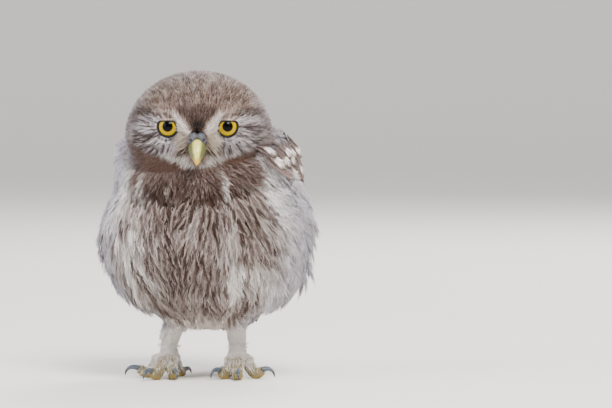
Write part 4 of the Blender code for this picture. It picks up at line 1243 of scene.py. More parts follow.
def vane_outline(shares):
    """Half width along a feather: narrow at the quill, full at the middle and rounded at the tip."""
    quill = np.clip(shares / 0.3, 0.0, 1.0) ** 0.6
    tip = np.sqrt(np.clip(1.0 - (np.clip(shares - 0.74, 0.0, 1.0) / 0.26) ** 2, 0.0, 1.0))
    return np.maximum(quill * tip, 0.05)


def vane_arrays(lines, outs, half_widths, thick, camber, tilt, seed):
    """Closed thin feathers along centre lines of points, with the ways out from the bird at each point."""
    draw = np.random.default_rng(seed)
    feathers = len(lines)
    shares = np.linspace(0.0, 1.0, VANE_STATIONS)
    ahead = unit(np.gradient(lines, axis=1))
    across = unit(np.cross(outs, ahead))
    above = unit(np.cross(ahead, across))
    u = np.linspace(-1.0, 1.0, VANE_COLUMNS)
    ragged = 1.0 + 0.05 * draw.normal(size=(feathers, VANE_STATIONS, VANE_COLUMNS)) * (np.abs(u) > 0.9)
    half = half_widths[:, None] * vane_outline(shares)[None]
    aside = half[..., None] * u * ragged
    drop = -camber * half[..., None] * u**2 + tilt[:, None, None] * u * half[..., None]
    ridge = 0.16 * MM * np.exp(-((u / 0.12) ** 2)) * (1.0 - shares[:, None])
    top = lines[:, :, None] + across[:, :, None] * aside[..., None]
    top = top + above[:, :, None] * (drop + ridge)[..., None]
    thin = thick * (1.0 - 0.55 * np.abs(u))[None, None, :, None]
    low = top - above[:, :, None] * thin
    rows = np.stack([top, low], axis=1).reshape(feathers, -1, 3)
    grid = np.arange(VANE_STATIONS * VANE_COLUMNS).reshape(VANE_STATIONS, VANE_COLUMNS)
    a, b = grid[:-1, :-1].ravel(), grid[:-1, 1:].ravel()
    c, d = grid[1:, 1:].ravel(), grid[1:, :-1].ravel()
    under = grid.size
    rim = [*grid[0, :], *grid[1:, -1], *grid[-1, -2::-1], *grid[-2:0:-1, 0]]
    rim_next = rim[1:] + rim[:1]
    faces = [np.stack([a, b, c, d], axis=1), np.stack([d, c, b, a], axis=1) + under]
    faces.append(np.array([(q, p, p + under, q + under) for p, q in zip(rim, rim_next)]))
    faces = np.concatenate(faces)
    all_faces = (np.arange(feathers)[:, None, None] * 2 * under + faces[None]).reshape(-1, 4)
    flat = np.stack(np.meshgrid(u * 0.5 + 0.5, shares), axis=2).reshape(-1, 2)
    uv = np.tile(np.concatenate([flat, flat]), (feathers, 1))
    tone = np.repeat(draw.uniform(0.82, 1.12, feathers), 2 * under)
    return rows.reshape(-1, 3), all_faces, None, tone, uv


def vane_material(name, colours, spots, fringe):
    """Contour feather: close barbs that lie as fine slanting lines, a faint silky gloss and pale spots."""
    material, add, shader = start_material(name, 0.62, Specular_IOR_Level=0.3, Sheen_Weight=0.15)
    uv = add("ShaderNodeUVMap", uv_map="vane")
    place = add(PARTS, (uv,))
    along = out(place, "Y")
    aside = add(MATH, (out(place, "X"), 0.5), operation="SUBTRACT")
    aside = add(MATH, (aside, 2.0), operation="MULTIPLY")
    aside = add(MATH, (aside,), operation="ABSOLUTE")
    white = add(RANGE, (aside, 0.72, 1.0, 0.0, fringe))
    for middle, radii in spots:
        square = 0.0
        for value, centre, radius in zip((aside, along), middle, radii):
            away = add(MATH, (value, centre), operation="SUBTRACT")
            away = add(MATH, (away, radius), operation="DIVIDE")
            square = add(MATH, (away, away, square), operation="MULTIPLY_ADD")
        spot = add(RANGE, (square, 1.25, 0.7))
        white = add(MATH, (white, spot), operation="MAXIMUM")
    slant = add(MATH, (along, VANE_BARBS), operation="MULTIPLY")
    slant = add(MATH, (slant, aside), operation="SUBTRACT")
    slant = add(MATH, (slant, math.pi), operation="MULTIPLY")
    barbs = add(MATH, (slant,), operation="SINE")
    dark = add(MIX, (0.45, colours.vane_ground, colours.down_dark))
    toward_tip = add(RANGE, (along, 0.2, 0.9))
    colour = add(MIX, (toward_tip, colours.vane_ground, dark))
    shaft = add(RANGE, (aside, 0.10, 0.02, 0.0, 0.6))
    colour = add(MIX, (shaft, colour, colours.down_dark))
    colour = add(MIX, (white, colour, colours.vane_pale))
    tone = add(ATTRIBUTE, attribute_name="tone")
    shade = add(MATH, (barbs, 0.06, out(tone, "Fac")), operation="MULTIPLY_ADD")
    colour = add("ShaderNodeHueSaturation", {"Color": colour, "Value": shade})
    relief = add(BUMP, {"Height": barbs, "Distance": 0.12 * MM, "Strength": 0.5})
    feed(shader, {"Base Color": colour, "Normal": relief})
    return material


# Pale spots of a vane: how far out and along it the middle lies, and the radii, as shares of the vane
FLIGHT_SPOTS = tuple(((0.78, 0.24 + 0.17 * k), (0.34, 0.035)) for k in range(4))
TAIL_SPOTS = tuple(((0.62, 0.34 + 0.15 * k), (0.5, 0.03)) for k in range(5))
# Loose wing feather: how far along its white spot lies, the spot's half length and half width, and the barbs
SOFT_SPOT = (0.73, 0.15, 0.66)
SOFT_BARBS = 58
# How unevenly roots and tips lie, in millimetres of height and in shares of the wing's width
ROOT_UNEVEN, TIP_UNEVEN = (0.7, 0.008), (0.9, 0.012)


def along_lines(values, shares):
    """Values given at even stations along each feather, read at other shares of its length."""
    place = np.clip(shares, 0.0, 1.0) * (values.shape[1] - 1)
    index = np.minimum(place.astype(int), values.shape[1] - 2)
    rest = (place - index)[..., None]
    feather = np.arange(len(values))[:, None]
    return values[feather, index] * (1.0 - rest) + values[feather, index + 1] * rest


def soft_feather_arrays(lines, outs, half_widths, seed):
    """Loose wing feathers: barbs leave the shaft on both sides, brown with a white spot before the tip."""
    draw = np.random.default_rng(seed)
    feathers = len(lines)
    shape = (feathers, SOFT_BARBS)
    ahead = unit(np.gradient(lines, axis=1))
    across = unit(np.cross(outs, ahead))
    start = np.tile(np.linspace(0.0, 0.84, SOFT_BARBS), (feathers, 1)) + draw.uniform(-0.02, 0.02, shape)
    start = np.maximum(start, 0.0)
    hand = np.tile(np.where(np.arange(SOFT_BARBS) % 2 == 0, 1.0, -1.0), (feathers, 1))
    hand = hand * np.clip(draw.uniform(0.75, 1.08, shape), 0.0, 1.05)
    spotted = smooth(0.25, 0.35, draw.random((feathers, 1)))
    places, marks, tones = [], [], []
    tone = draw.uniform(0.86, 1.1, (feathers, 1)) * draw.uniform(0.94, 1.06, shape)
    # Shares of pale, warm, dark and painted bluish shade for the wing's loose feathers
    ground = np.array((0.10, 0.40, 0.42, 0.18)) + draw.normal(0.0, 0.05, (feathers, 1, 4))
    loose = np.abs(draw.normal(0.0, 0.35, shape)) * MM
    for t in (0.0, 0.5, 1.0):
        share = start + 0.2 * t
        over = hand * min(1.0, 0.1 + 0.62 * t + 0.38 * t**2) * (t > 0.0)
        reach = over * half_widths[:, None] * vane_outline(share)
        place = along_lines(lines, share) + along_lines(across, share) * reach[..., None]
        rise = loose * t**2 - 0.25 * half_widths[:, None] * over**2
        places.append(place + along_lines(outs, share) * rise[..., None])
        middle, tall, wide = SOFT_SPOT
        oval = ((share - middle) / tall) ** 2 + (over / wide) ** 2
        spot = (smooth(1.3, 0.7, oval) * spotted)[..., None]
        mark = ground * (1.0 - spot) + np.array((1.0, 0.05, 0.0, 0.1)) * spot
        mark = mark + np.array((0.25, 0.0, -0.1, 0.0)) * (smooth(0.85, 1.0, share) * (t > 0.9))[..., None]
        shaft = 0.25 * (t == 0.0)
        mark = mark + np.array((-0.3, 0.0, shaft, 0.0)) * (1.0 if shaft else 0.0)
        marks.append(mark)
        # Barbs are darker near the root: painted shade under the feathers above
        tones.append(tone * (0.66 + 0.34 * smooth(0.3, 0.65, share)))
    thick = (lengths(lines[:, -1] - lines[:, 0]) * 2.3 / SOFT_BARBS)[:, None]
    thick = thick * draw.uniform(0.85, 1.15, shape)
    points, faces, size = needles(places, thick, along_lines(outs, start))
    marks = np.stack([marks[0]] * 3 + [marks[1]] * 3 + [marks[2]], axis=2)
    tones = np.stack([tones[0]] * 3 + [tones[1]] * 3 + [tones[2]], axis=2)
    flat = unwrapped("wings", lines[:, 0])
    long = lengths(lines[:, -1] - lines[:, 0])[:, None]
    uv = bake_places(flat, hand * half_widths[:, None], start * long, size)
    return points, faces, np.clip(marks.reshape(-1, 4), 0.0, 1.0), tones.ravel(), uv


def wing_lines(table, side, roots, tips, lifts, rises):
    """Centre lines of feathers from roots to tips, given as heights and shares of the wing's width."""
    shares = np.linspace(0.0, 1.0, VANE_STATIONS)[None]
    height = roots[:, :1] + (tips[:, :1] - roots[:, :1]) * shares
    over = roots[:, 1:] + (tips[:, 1:] - roots[:, 1:]) * shares
    lead, trail = wing_edges(side, height)
    angle = side * (lead + (trail - lead) * over)
    free = 5.0 * (1.0 - smooth(42.0, 63.0, height))
    close = 1.0 - 0.8 * smooth(116.0, 129.0, height)
    return table.place(angle, height, (lifts[:, None] + rises[:, None] * shares) * close + free)


def wing_groups():
    """Feathers by kind: roots and tips as (height, share), half widths, lifts and rises in millimetres."""
    flight, coverts, scapulars = [], [], []
    for k in range(9):
        share = k / 8.0
        root, tip = (86.0 - 4.0 * share, 0.12 + 0.3 * share), (60.0 - 20.0 * share, 0.2 + 0.38 * share)
        flight.append((root, tip, 3.6, 1.5 + 0.22 * k, 0.4))
    for k in range(10):
        share = k / 9.0
        root, tip = (92.0 + 8.0 * share, 0.28 + 0.6 * share), (61.0 + 7.0 * share, 0.38 + 0.52 * share)
        flight.append((root, tip, 4.3, 2.7 + 0.08 * k, 0.9))
    for count, heights, shares, length, half_width in COVERT_TIERS:
        for k in range(count):
            share = k / (count - 1.0)
            over = shares[0] + (shares[1] - shares[0]) * share
            top = heights[0] + (heights[1] - heights[0]) * share
            coverts.append(((top, over), (top - length, over + 0.03), half_width, 2.4 + 0.05 * k, 2.0))
    for k in range(7):
        for column in (0.84, 0.98):
            top = 129.0 - 8.0 * k - 4.0 * (column > 0.9)
            scapulars.append(((top, column), (top - 17.0, column + 0.03), 4.6, 3.4, 2.0))
    return {"flight": flight, "coverts": coverts, "scapulars": scapulars}


class OWL_OT_wings(bpy.types.Operator):
    """Lay the folded wings' feathers in tiers over the body"""

    bl_idname = "owl.wings"
    bl_label = "Wings"

    def execute(self, context):
        sizes, colours = context.scene.owl_sizes, context.scene.owl_colours
        table = BodyTable()
        stiff = vane_material("silky barred flight feather", colours, FLIGHT_SPOTS, fringe=0.2)
        soft = down_material(colours)
        draw = np.random.default_rng(41)
        for side, word in SIDES.items():
            for kind, feathers in wing_groups().items():
                shape = (len(feathers), 2)
                roots = np.array([f[0] for f in feathers]) + draw.normal(0.0, ROOT_UNEVEN, shape)
                tips = np.array([f[1] for f in feathers]) + draw.normal(0.0, TIP_UNEVEN, shape)
                widths, lifts, rises = np.array([f[2:] for f in feathers]).T
                lines, outs = wing_lines(table, side, roots, tips, lifts, rises)
                widths = widths * MM
                name = f"wing_{kind}_{word}"
                if kind == "flight":
                    tilts = np.full(len(feathers), -0.16 * side)
                    thick = sizes.vane_thick
                    arrays = vane_arrays(lines, outs, widths, thick, camber=0.3, tilt=tilts, seed=50 + side)
                    piece = piece_from_arrays(name, stiff, *arrays, uv_name="vane")
                else:
                    arrays = soft_feather_arrays(lines, outs, widths, 50 + side + len(kind))
                    piece = piece_from_arrays(name, soft, *arrays)
                settle(piece, "wing_feathers", "wing_" + word)
        return {"FINISHED"}


class OWL_OT_tail(bpy.types.Operator):
    """Fan the tail feathers and their coverts from the rump"""

    bl_idname = "owl.tail"
    bl_label = "Tail"

    def execute(self, context):
        sizes, colours = context.scene.owl_sizes, context.scene.owl_colours
        along = -FRONT * math.cos(TAIL_SLOPE) - UP * math.sin(TAIL_SLOPE)
        above = -FRONT * math.sin(TAIL_SLOPE) + UP * math.cos(TAIL_SLOPE)
        root, _ = BodyTable().place(np.array([180.0]), np.array([TAIL_ROOT_HEIGHT]), np.array([0.0]))
        start = root[0] - along * TAIL_INSIDE * MM - above * TAIL_BELOW * MM
        shares = np.linspace(0.0, 1.0, VANE_STATIONS)[:, None]
        lines, outs, widths, tilts = [], [], [], []
        for count, wide, fan, longest, half_width, lift, lower, level in TAIL_TIERS:
            for place in np.linspace(-1.0, 1.0, count):
                turn = math.radians(place * fan)
                way = along * math.cos(turn) + LEFT * math.sin(turn)
                length = (longest - TAIL_SHORTER * place**2) * MM
                raised = (lift - lower * abs(place)) * level * MM
                rise = above * raised - above * TAIL_DROOP * MM * shares**2
                lines.append(start + LEFT * place * wide * MM + way * length * shares + rise)
                outs.append(np.tile(above * level, (VANE_STATIONS, 1)))
                widths.append(half_width * MM)
                tilts.append(TAIL_TILT * np.sign(place) * level)
        widths, tilts = np.array(widths), np.array(tilts)
        lines, outs, thick = np.array(lines), np.array(outs), sizes.vane_thick
        arrays = vane_arrays(lines, outs, widths, thick, camber=0.16, tilt=tilts, seed=61)
        material = vane_material("silky barred tail feather", colours, TAIL_SPOTS, fringe=0.3)
        piece = piece_from_arrays("tail_feathers", material, *arrays, uv_name="vane")
        settle(piece, "tail_feathers", "tail")
        return {"FINISHED"}


# Eyes and bill

# How closely the iris's rays stand round the pupil, and how bright the lids' colours are: darkened as painted
# shade under the brow
IRIS_RAYS = 9.0
LID_SHADED_TONE = 0.8


def eye_material(colours, sizes):
    """Wet cornea over a yellow iris: a clear gloss coat, fine rays round the pupil and a dark rim."""
    gloss = {"Coat_Weight": 0.35, "Coat_Roughness": 0.03, "Coat_IOR": 1.34, "Specular_IOR_Level": 0.0}
    material, add, shader = start_material("wet cornea over iris", 0.5, **gloss)
    uv = add("ShaderNodeUVMap", uv_map="iris")
    place = add("ShaderNodeVectorMath", (uv, (0.5, 0.5, 0.0)), operation="SUBTRACT")
    radius = add("ShaderNodeVectorMath", (place,), operation="LENGTH")
    reach = add(MATH, (out(radius, "Value"), 2.0 * EYE_RADIUS * MM), operation="MULTIPLY")
    parts = add(PARTS, (place,))
    turn = add(MATH, (out(parts, "Y"), out(parts, "X")), operation="ARCTAN2")
    turn = add(MATH, (turn, IRIS_RAYS), operation="MULTIPLY")
    round_pupil = add("ShaderNodeCombineXYZ", {"X": turn, "Y": reach})
    rays = add(NOISE, {"Vector": round_pupil, "Scale": 1.0, "Detail": 4.0})
    outward = add(RANGE, (reach, sizes.pupil_radius, sizes.iris_radius))
    iris = add(MIX, (outward, colours.iris_inner, colours.iris_outer))
    deeper = add(RANGE, (out(rays, "Fac"), 0.45, 0.75, 0.0, 0.35))
    iris = add(MIX, (deeper, iris, colours.iris_inner))
    rim = add(RANGE, (reach, sizes.iris_radius * 0.95, sizes.iris_radius * 1.03))
    pupil = add(RANGE, (reach, sizes.pupil_radius * 1.06, sizes.pupil_radius * 0.96))
    black = add(MATH, (rim, pupil), operation="MAXIMUM")
    colour = add(MIX, (black, iris, colours.pupil))
    feed(shader, {"Base Color": colour})
    return material


def lid_material(colours):
    """Thin moist skin: its bare rim is black, and the rest has the colours of the face's down."""
    material, add, shader = start_material("moist lid skin", 0.5, Specular_IOR_Level=0.25)
    rim = add(ATTRIBUTE, attribute_name="rim")
    colour = add(MIX, (out(rim, "Fac"), down_colour(add, colours), colours.lid))
    place = out(add(PLACE), "Object")
    creases = add(NOISE, {"Vector": place, "Scale": 1.0 / (0.5 * MM), "Detail": 4.0})
    relief = add(BUMP, {"Height": out(creases, "Fac"), "Distance": 0.12 * MM, "Strength": 0.5})
    feed(shader, {"Base Color": colour, "Normal": relief})
    return material


def make_eyeball(side, word, material):
    across, above, gaze = eye_ways(side)
    steps, turns = 40, 56
    polar = np.linspace(0.0, math.pi, steps)[:, None]
    turn = np.linspace(0.0, math.tau, turns, endpoint=False)[None]
    radius = EYE_RADIUS + CORNEA_RISE * np.exp(-((polar / CORNEA_SPREAD) ** 2))
    x, z = np.sin(polar) * np.cos(turn) * radius, np.sin(polar) * np.sin(turn) * radius
    y = np.cos(polar) * radius * np.ones_like(turn)
    points = x[..., None] * across + z[..., None] * above + y[..., None] * gaze
    points = EYES[side] + points.reshape(-1, 3) * MM
    uv = 0.5 + np.stack([x, z], axis=2).reshape(-1, 2) / (2.0 * EYE_RADIUS)
    faces = ring_faces(steps, turns)
    return tidy_faces(piece_from_arrays("eyeball_" + word, material, points, faces, uv=uv, uv_name="iris"))


def ring_faces(steps, turns, closed=False):
    """Four-cornered faces between rings of points. Closed ones join the last ring to the first."""
    grid = np.arange(steps * turns).reshape(steps, turns)
    grid = np.concatenate([grid, grid[:1]]) if closed else grid
    after = np.roll(grid, -1, axis=1)
    return np.stack([grid[:-1].ravel(), after[:-1].ravel(), after[1:].ravel(), grid[1:].ravel()], axis=1)


def make_lids(side, word, material):
    """Upper and lower lid as one ring round the opening, thick at its rounded rim and closed at the back."""
    across, above, gaze = eye_ways(side)
    turns = 72
    turn = np.linspace(0.0, math.tau, turns, endpoint=False)
    edge = np.arcsin(lid_opening(turn) / LID_OUTER)
    middle = (LID_INNER + LID_OUTER) / 2.0
    inward = [(LID_OUTER, share) for share in np.linspace(1.0, 0.12, 7)]
    rim = [(LID_OUTER, 0.05), (LID_OUTER - 0.12, 0.012), (middle, 0.0), (LID_INNER + 0.12, 0.012)]
    back = [(LID_INNER, share) for share in (0.05, 0.2, 0.5, 1.0)]
    rings = []
    for radius, share in inward + rim + back:
        polar = edge + (LID_REACH - edge) * share
        x, z, y = np.sin(polar) * np.cos(turn), np.sin(polar) * np.sin(turn), np.cos(polar)
        ring = x[:, None] * across + z[:, None] * above + y[:, None] * gaze
        rings.append(EYES[side] + ring * radius * MM)
    points = np.concatenate(rings)
    # The lids' colours are darkened as painted shade under the brow and the face's feathers
    tones = np.full(len(points), LID_SHADED_TONE)
    faces = ring_faces(len(rings), turns, closed=True)
    lids = piece_from_arrays("lids_" + word, material, points, faces, marks_at(points), tones)
    places, _ = point_arrays(tidy_faces(lids).data)
    point_layer(lids.data, "rim", "FLOAT", smooth(1.0, 0.7, past_lid_edge(places)))
    return lids


class OWL_OT_eyes(bpy.types.Operator):
    """Make both eyes and their lids"""

    bl_idname = "owl.eyes"
    bl_label = "Eyes"

    def execute(self, context):
        sizes, colours = context.scene.owl_sizes, context.scene.owl_colours
        material, lid_skin = eye_material(colours, sizes), lid_material(colours)
        for side, word in SIDES.items():
            settle(make_eyeball(side, word, material), "eye", "eye_" + word)
            settle(make_lids(side, word, lid_skin), "lid_skin", "eyelids_" + word)
        return {"FINISHED"}


def lofted_bill(name, rows, material, steps, sides, sharpness):
    """A bill half along its rows, with a ridge on top, and a value for how near the ridge each point is,
    which the horn's material uses to paint shade on the sides.
    """
    rows = finer(rows, steps)
    places = HEAD + np.stack([0 * rows[:, 0], -rows[:, 0], rows[:, 1]], axis=1) * MM
    ahead = unit(np.gradient(places, axis=0))
    right = np.array((1.0, 0.0, 0.0))
    above = unit(np.cross(ahead, right))
    turns = np.linspace(0.0, math.tau, sides, endpoint=False)
    wide = np.sign(np.cos(turns)) * np.abs(np.cos(turns)) ** sharpness
    tall = np.sin(turns)
    half_width, half_height = np.maximum(rows[:, 2], 0.05) * MM, np.maximum(rows[:, 3], 0.05) * MM
    rings = places[:, None] + right * (half_width[:, None] * wide)[..., None]
    rings = rings + above[:, None] * (half_height[:, None] * tall)[..., None]
    points = np.concatenate([rings.reshape(-1, 3), places[:1], places[-1:] + ahead[-1:] * 0.2 * MM])
    quads = ring_faces(steps, sides)
    ring = np.arange(sides)
    after, end = np.roll(ring, -1), (steps - 1) * sides
    first = np.stack([after, ring, np.full(sides, len(points) - 2)], axis=1)
    last = np.stack([end + ring, end + after, np.full(sides, len(points) - 1)], axis=1)
    faces = np.concatenate([quads[:, [0, 1, 2]], quads[:, [0, 2, 3]], first, last])
    ridge = np.clip(np.tile(tall, steps), 0.0, 1.0) ** RIDGE_SHARPNESS
    return tidy_faces(piece_from_arrays(name, material, points, faces, tones=np.append(ridge, (0.0, 1.0))))


def bill_material(colours):
    """Bill horn: thin keratin layers, satin, pale on the ridge, greenish at the sides, amber at the tip. The
    sides' darker colour is partly the horn's own and partly painted shade.
    """
    material, add, shader = start_material("bill horn", 0.36, Coat_Weight=0.15, Coat_Roughness=0.2)
    ridge = add(ATTRIBUTE, attribute_name="tone")
    place = out(add(PLACE), "Object")
    spot = add(PARTS, (place,))
    growth = add(NOISE, {"Vector": place, "Scale": 1.0 / (1.6 * MM), "Detail": 3.0})
    # Pale on the ridge, darker at the sides: the sides' colour is the greenish horn with painted shade
    on_ridge = add(RANGE, (out(ridge, "Fac"), 0.2, 0.8))
    colour = add(MIX, (on_ridge, colours.bill_shaded_side, colours.bill_ridge))
    height = float(HEAD[2])
    tip = add(RANGE, (out(spot, "Z"), height - 8.5 * MM, height - 13.5 * MM))
    colour = add(MIX, (tip, colour, colours.bill_tip))
    streaks = add(RANGE, (out(growth, "Fac"), 0.4, 0.8, 0.0, 0.25))
    colour = add(MIX, (streaks, colour, colours.bill_shaded_side))
    relief = add(BUMP, {"Height": out(growth, "Fac"), "Distance": 0.08 * MM, "Strength": 0.4})
    feed(shader, {"Base Color": colour, "Normal": relief})
    return material


def cere_material(colours):
    """Soft bare skin over the bill's root: grey-blue, waxy, with pores a third of a millimetre apart, and the
    nostrils' pits painted dark as shade.
    """
    material, add, shader = start_material("waxy cere skin", 0.5, Specular_IOR_Level=0.4)
    place = out(add(PLACE), "Object")
    pores = add(VORONOI, {"Vector": place, "Scale": 1.0 / (0.35 * MM)})
    between = add(RANGE, (out(pores, "Distance"), 0.1, 0.6))
    deep = tuple(0.5 * c for c in colours.cere[:3]) + (1.0,)
    colour = add(MIX, (between, colours.cere, deep))
    # Painted shade: each nostril's pit is drawn nearly black
    for side in SIDES:
        ends = (place, tuple(nostril_at(side)))
        away = add("ShaderNodeVectorMath", ends, operation="DISTANCE")
        edges = (1.25 * NOSTRIL_RADIUS * MM, 0.6 * NOSTRIL_RADIUS * MM)
        hole = add(RANGE, (out(away, "Value"), *edges))
        colour = add(MIX, (hole, colour, colours.nostril))
    relief = add(BUMP, {"Height": out(pores, "Distance"), "Distance": 0.1 * MM, "Strength": 0.5})
    feed(shader, {"Base Color": colour, "Normal": relief})
    return material


def nostril_at(side):
    return HEAD + np.array((side * NOSTRIL[0], -NOSTRIL[1], NOSTRIL[2])) * MM


def make_cere(material):
    """Two low lobes over the bill's root, with a swollen rim round the pit of each nostril."""
    shape = bmesh.new()
    for (x, forward, up), radii in CERE_BALLS:
        for side in SIDES:
            add_ball(shape, HEAD + np.array((side * x, -forward, up)) * MM, radii)
    mesh = bpy.data.meshes.new("cere_skin")
    shape.to_mesh(mesh)
    shape.free()
    cere = remeshed(new_object("cere_skin", mesh), CERE_GRAIN * MM, steps=4)
    points, normals = point_arrays(cere.data)
    away = np.minimum(*[lengths(points - nostril_at(side)) / MM for side in SIDES])
    pit = smooth(1.1 * NOSTRIL_RADIUS, 0.5 * NOSTRIL_RADIUS, away)
    set_points(cere.data, points - normals * (NOSTRIL_DEPTH * MM * pit)[:, None])
    return surfaced(cere, material)


class OWL_OT_bill(bpy.types.Operator):
    """Make both halves of the bill and the cere with its nostrils"""

    bl_idname = "owl.bill"
    bl_label = "Bill"

    def execute(self, context):
        colours = context.scene.owl_colours
        horn = bill_material(colours)
        upper = lofted_bill("bill_hook", BILL_UPPER_ROWS, horn, steps=34, sides=28, sharpness=1.25)
        settle(upper, "bill_horn", "bill_upper")
        lower = lofted_bill("bill_under", BILL_LOWER_ROWS, horn, steps=18, sides=20, sharpness=1.0)
        settle(lower, "bill_horn", "bill_lower")
        settle(make_cere(cere_material(colours)), "cere_skin", "cere")
        return {"FINISHED"}


def geometry_tree(name, inputs):
    """A new tree for a Geometry Nodes modifier, the function that adds its nodes, and its named inputs."""
    tree = bpy.data.node_groups.new(name, "GeometryNodeTree")
    tree.interface.new_socket("Geometry", in_out="INPUT", socket_type="NodeSocketGeometry")
    for label, kind in inputs:
        tree.interface.new_socket(label, in_out="INPUT", socket_type=kind)
    tree.interface.new_socket("Geometry", in_out="OUTPUT", socket_type="NodeSocketGeometry")
    add = partial(add_node, tree)
    return tree, add, add("NodeGroupInput")


def finish_tree(add, given, shape, turned, least, most, material):
    """Ends the tree: the shape on each point, turned and varied in size, made real and with its material."""
    size = {"Min": least, "Max": most, "Seed": out(given, "Seed")}
    scale = add("FunctionNodeRandomValue", size)
    copies = {"Points": out(given, "Geometry"), "Instance": shape, "Rotation": turned, "Scale": scale}
    placed = add("GeometryNodeInstanceOnPoints", copies)
    real = add("GeometryNodeRealizeInstances", (placed,))
    painted = add("GeometryNodeSetMaterial", {"Geometry": real, "Material": material})
    add("NodeGroupOutput", (painted,))


def grown_by_tree(name, points, ways, ups, tree, values):
    """A plain mesh from the tree run on loose points that carry a way ahead and a way up."""
    mesh = bpy.data.meshes.new(name)
    mesh.from_pydata([tuple(p) for p in points], [], [])
    point_layer(mesh, "way", "FLOAT_VECTOR", ways)
    point_layer(mesh, "rise", "FLOAT_VECTOR", ups)
    piece = new_object(name, mesh)
    modifier = piece.modifiers.new("grow", "NODES")
    modifier.node_group = tree
    for item in tree.interface.items_tree:
        if item.in_out == "INPUT" and item.name in values:
            modifier[item.identifier] = values[item.name]
    evaluated_mesh(piece).shade_smooth()
    return piece


def bristle_tree(material):
    """Bristles: a bent, tapering hair on each point, aligned to its way and varied in length."""
    sockets = (("Length", "NodeSocketFloat"), ("Radius", "NodeSocketFloat"), ("Seed", "NodeSocketInt"))
    tree, add, given = geometry_tree("Bristles", sockets)
    length = out(given, "Length")
    bent = add(MATH, (length, 0.3), operation="MULTIPLY")
    half_way = add(MATH, (length, 0.55), operation="MULTIPLY")
    tip = add("ShaderNodeCombineXYZ", {"X": bent, "Z": length})
    mid = add("ShaderNodeCombineXYZ", {"Z": half_way})
    bow = {"Resolution": 5, "Start": (0.0, 0.0, 0.0), "Middle": mid, "End": tip}
    curve = add("GeometryNodeCurveQuadraticBezier", bow)
    share = add("GeometryNodeSplineParameter")
    thinner = add(MATH, (out(share, "Factor"), 0.9), operation="MULTIPLY")
    taper = add(MATH, (1.0, thinner), operation="SUBTRACT")
    tapered = add("GeometryNodeSetCurveRadius", {"Curve": curve, "Radius": taper})
    ring = {"Resolution": 4, "Radius": out(given, "Radius")}
    profile = add("GeometryNodeCurvePrimitiveCircle", ring)
    ends = {"Curve": tapered, "Profile Curve": profile, "Fill Caps": True}
    hair = add("GeometryNodeCurveToMesh", ends)
    turned = add(ALIGN, {"Vector": add(CARRIED, {"Name": "way"})}, axis="Z")
    finish_tree(add, given, hair, turned, 0.55, 1.2, material)
    return tree


# Where bristles stand: how far out from the middle of the head, and how far up
BRISTLES_OUT, BRISTLES_UP = (4.3, 9.0), (-6.0, 3.6)


class OWL_OT_bristles(bpy.types.Operator):
    """Grow the stiff bristles on both sides of the bill"""

    bl_idname = "owl.bristles"
    bl_label = "Bristles"

    def execute(self, context):
        sizes, colours = context.scene.owl_sizes, context.scene.owl_colours
        # Dry keratin hair: stiff, satin and of one colour
        material, _, shader = start_material("stiff keratin bristle", 0.5, Specular_IOR_Level=0.4)
        shader.inputs["Base Color"].default_value = colours.bristle
        skin = BVHTree.FromObject(bpy.data.objects["skin"], context.evaluated_depsgraph_get())
        draw = np.random.default_rng(71)
        points, ways = [], []
        for side in SIDES:
            for _ in range(sizes.bristle_count):
                x, z = draw.uniform(*BRISTLES_OUT), draw.uniform(*BRISTLES_UP)
                before = HEAD + np.array((side * x, -60.0, z)) * MM
                hit = skin.ray_cast(Vector(before), Vector((0.0, 1.0, 0.0)))
                if hit[0]:
                    points.append(np.array(hit[0]))
                    ways.append((side * draw.uniform(0.4, 1.0), -0.7, draw.normal(-0.6, 0.25)))
        values = {"Length": sizes.bristle_length, "Radius": sizes.bristle_radius, "Seed": 5}
        tree = bristle_tree(material)
        settle(grown_by_tree("bill_bristles", points, ways, ways, tree, values), "head_down")
        return {"FINISHED"}


# Feet

# How far the foot's nodes grow so that they fuse, its skin's mesh size, and how much deeper the ankle lies
FOOT_FUSE, FOOT_GRAIN, ANKLE_DEPTH = 0.3, 0.42, 0.9
# Plates lie on the toes between these heights, and are sunk in by this much
PLATE_LOW, PLATE_HIGH, PLATE_SUNK = 3.0, 12.0, 0.2


def toe_material(colours):
    """Scaly toe skin: small rounded scales a millimetre across, olive-grey above and yellow on the pads."""
    material, add, shader = start_material("scaly toe skin", 0.6, Specular_IOR_Level=0.35)
    given = add(PLACE)
    spot = out(given, "Object")
    scales = add(VORONOI, {"Vector": spot, "Scale": 1.0 / (0.95 * MM)}, feature="DISTANCE_TO_EDGE")
    mottle = add(NOISE, {"Vector": spot, "Scale": 1.0 / (2.5 * MM)})
    height = out(add(PARTS, (spot,)), "Z")
    facing = out(add(PARTS, (out(given, "Normal"),)), "Z")
    low = add(RANGE, (height, 2.6 * MM, 0.8 * MM, 0.0, 0.9))
    under = add(RANGE, (facing, -0.1, -0.7))
    flecks = add(RANGE, (out(mottle, "Fac"), 0.5, 0.7, 0.0, 0.6))
    pad = add(MATH, (low, under), operation="MAXIMUM")
    pad = add(MATH, (pad, flecks), operation="MAXIMUM")
    colour = add(MIX, (pad, colours.toe_back, colours.toe_pad))
    groove = add(RANGE, (out(scales, "Distance"), 0.10, 0.0, 0.0, 0.65))
    colour = add(MIX, (groove, colour, colours.toe_groove))
    ankle = add(RANGE, (height, 10.5 * MM, 14.0 * MM))
    colour = add(MIX, (ankle, colour, colours.down_pale))
    domed = add(RANGE, (out(scales, "Distance"), 0.0, 0.25))
    relief = add(BUMP, {"Height": domed, "Distance": 0.22 * MM, "Strength": 0.8})
    feed(shader, {"Base Color": colour, "Normal": relief})
    return material


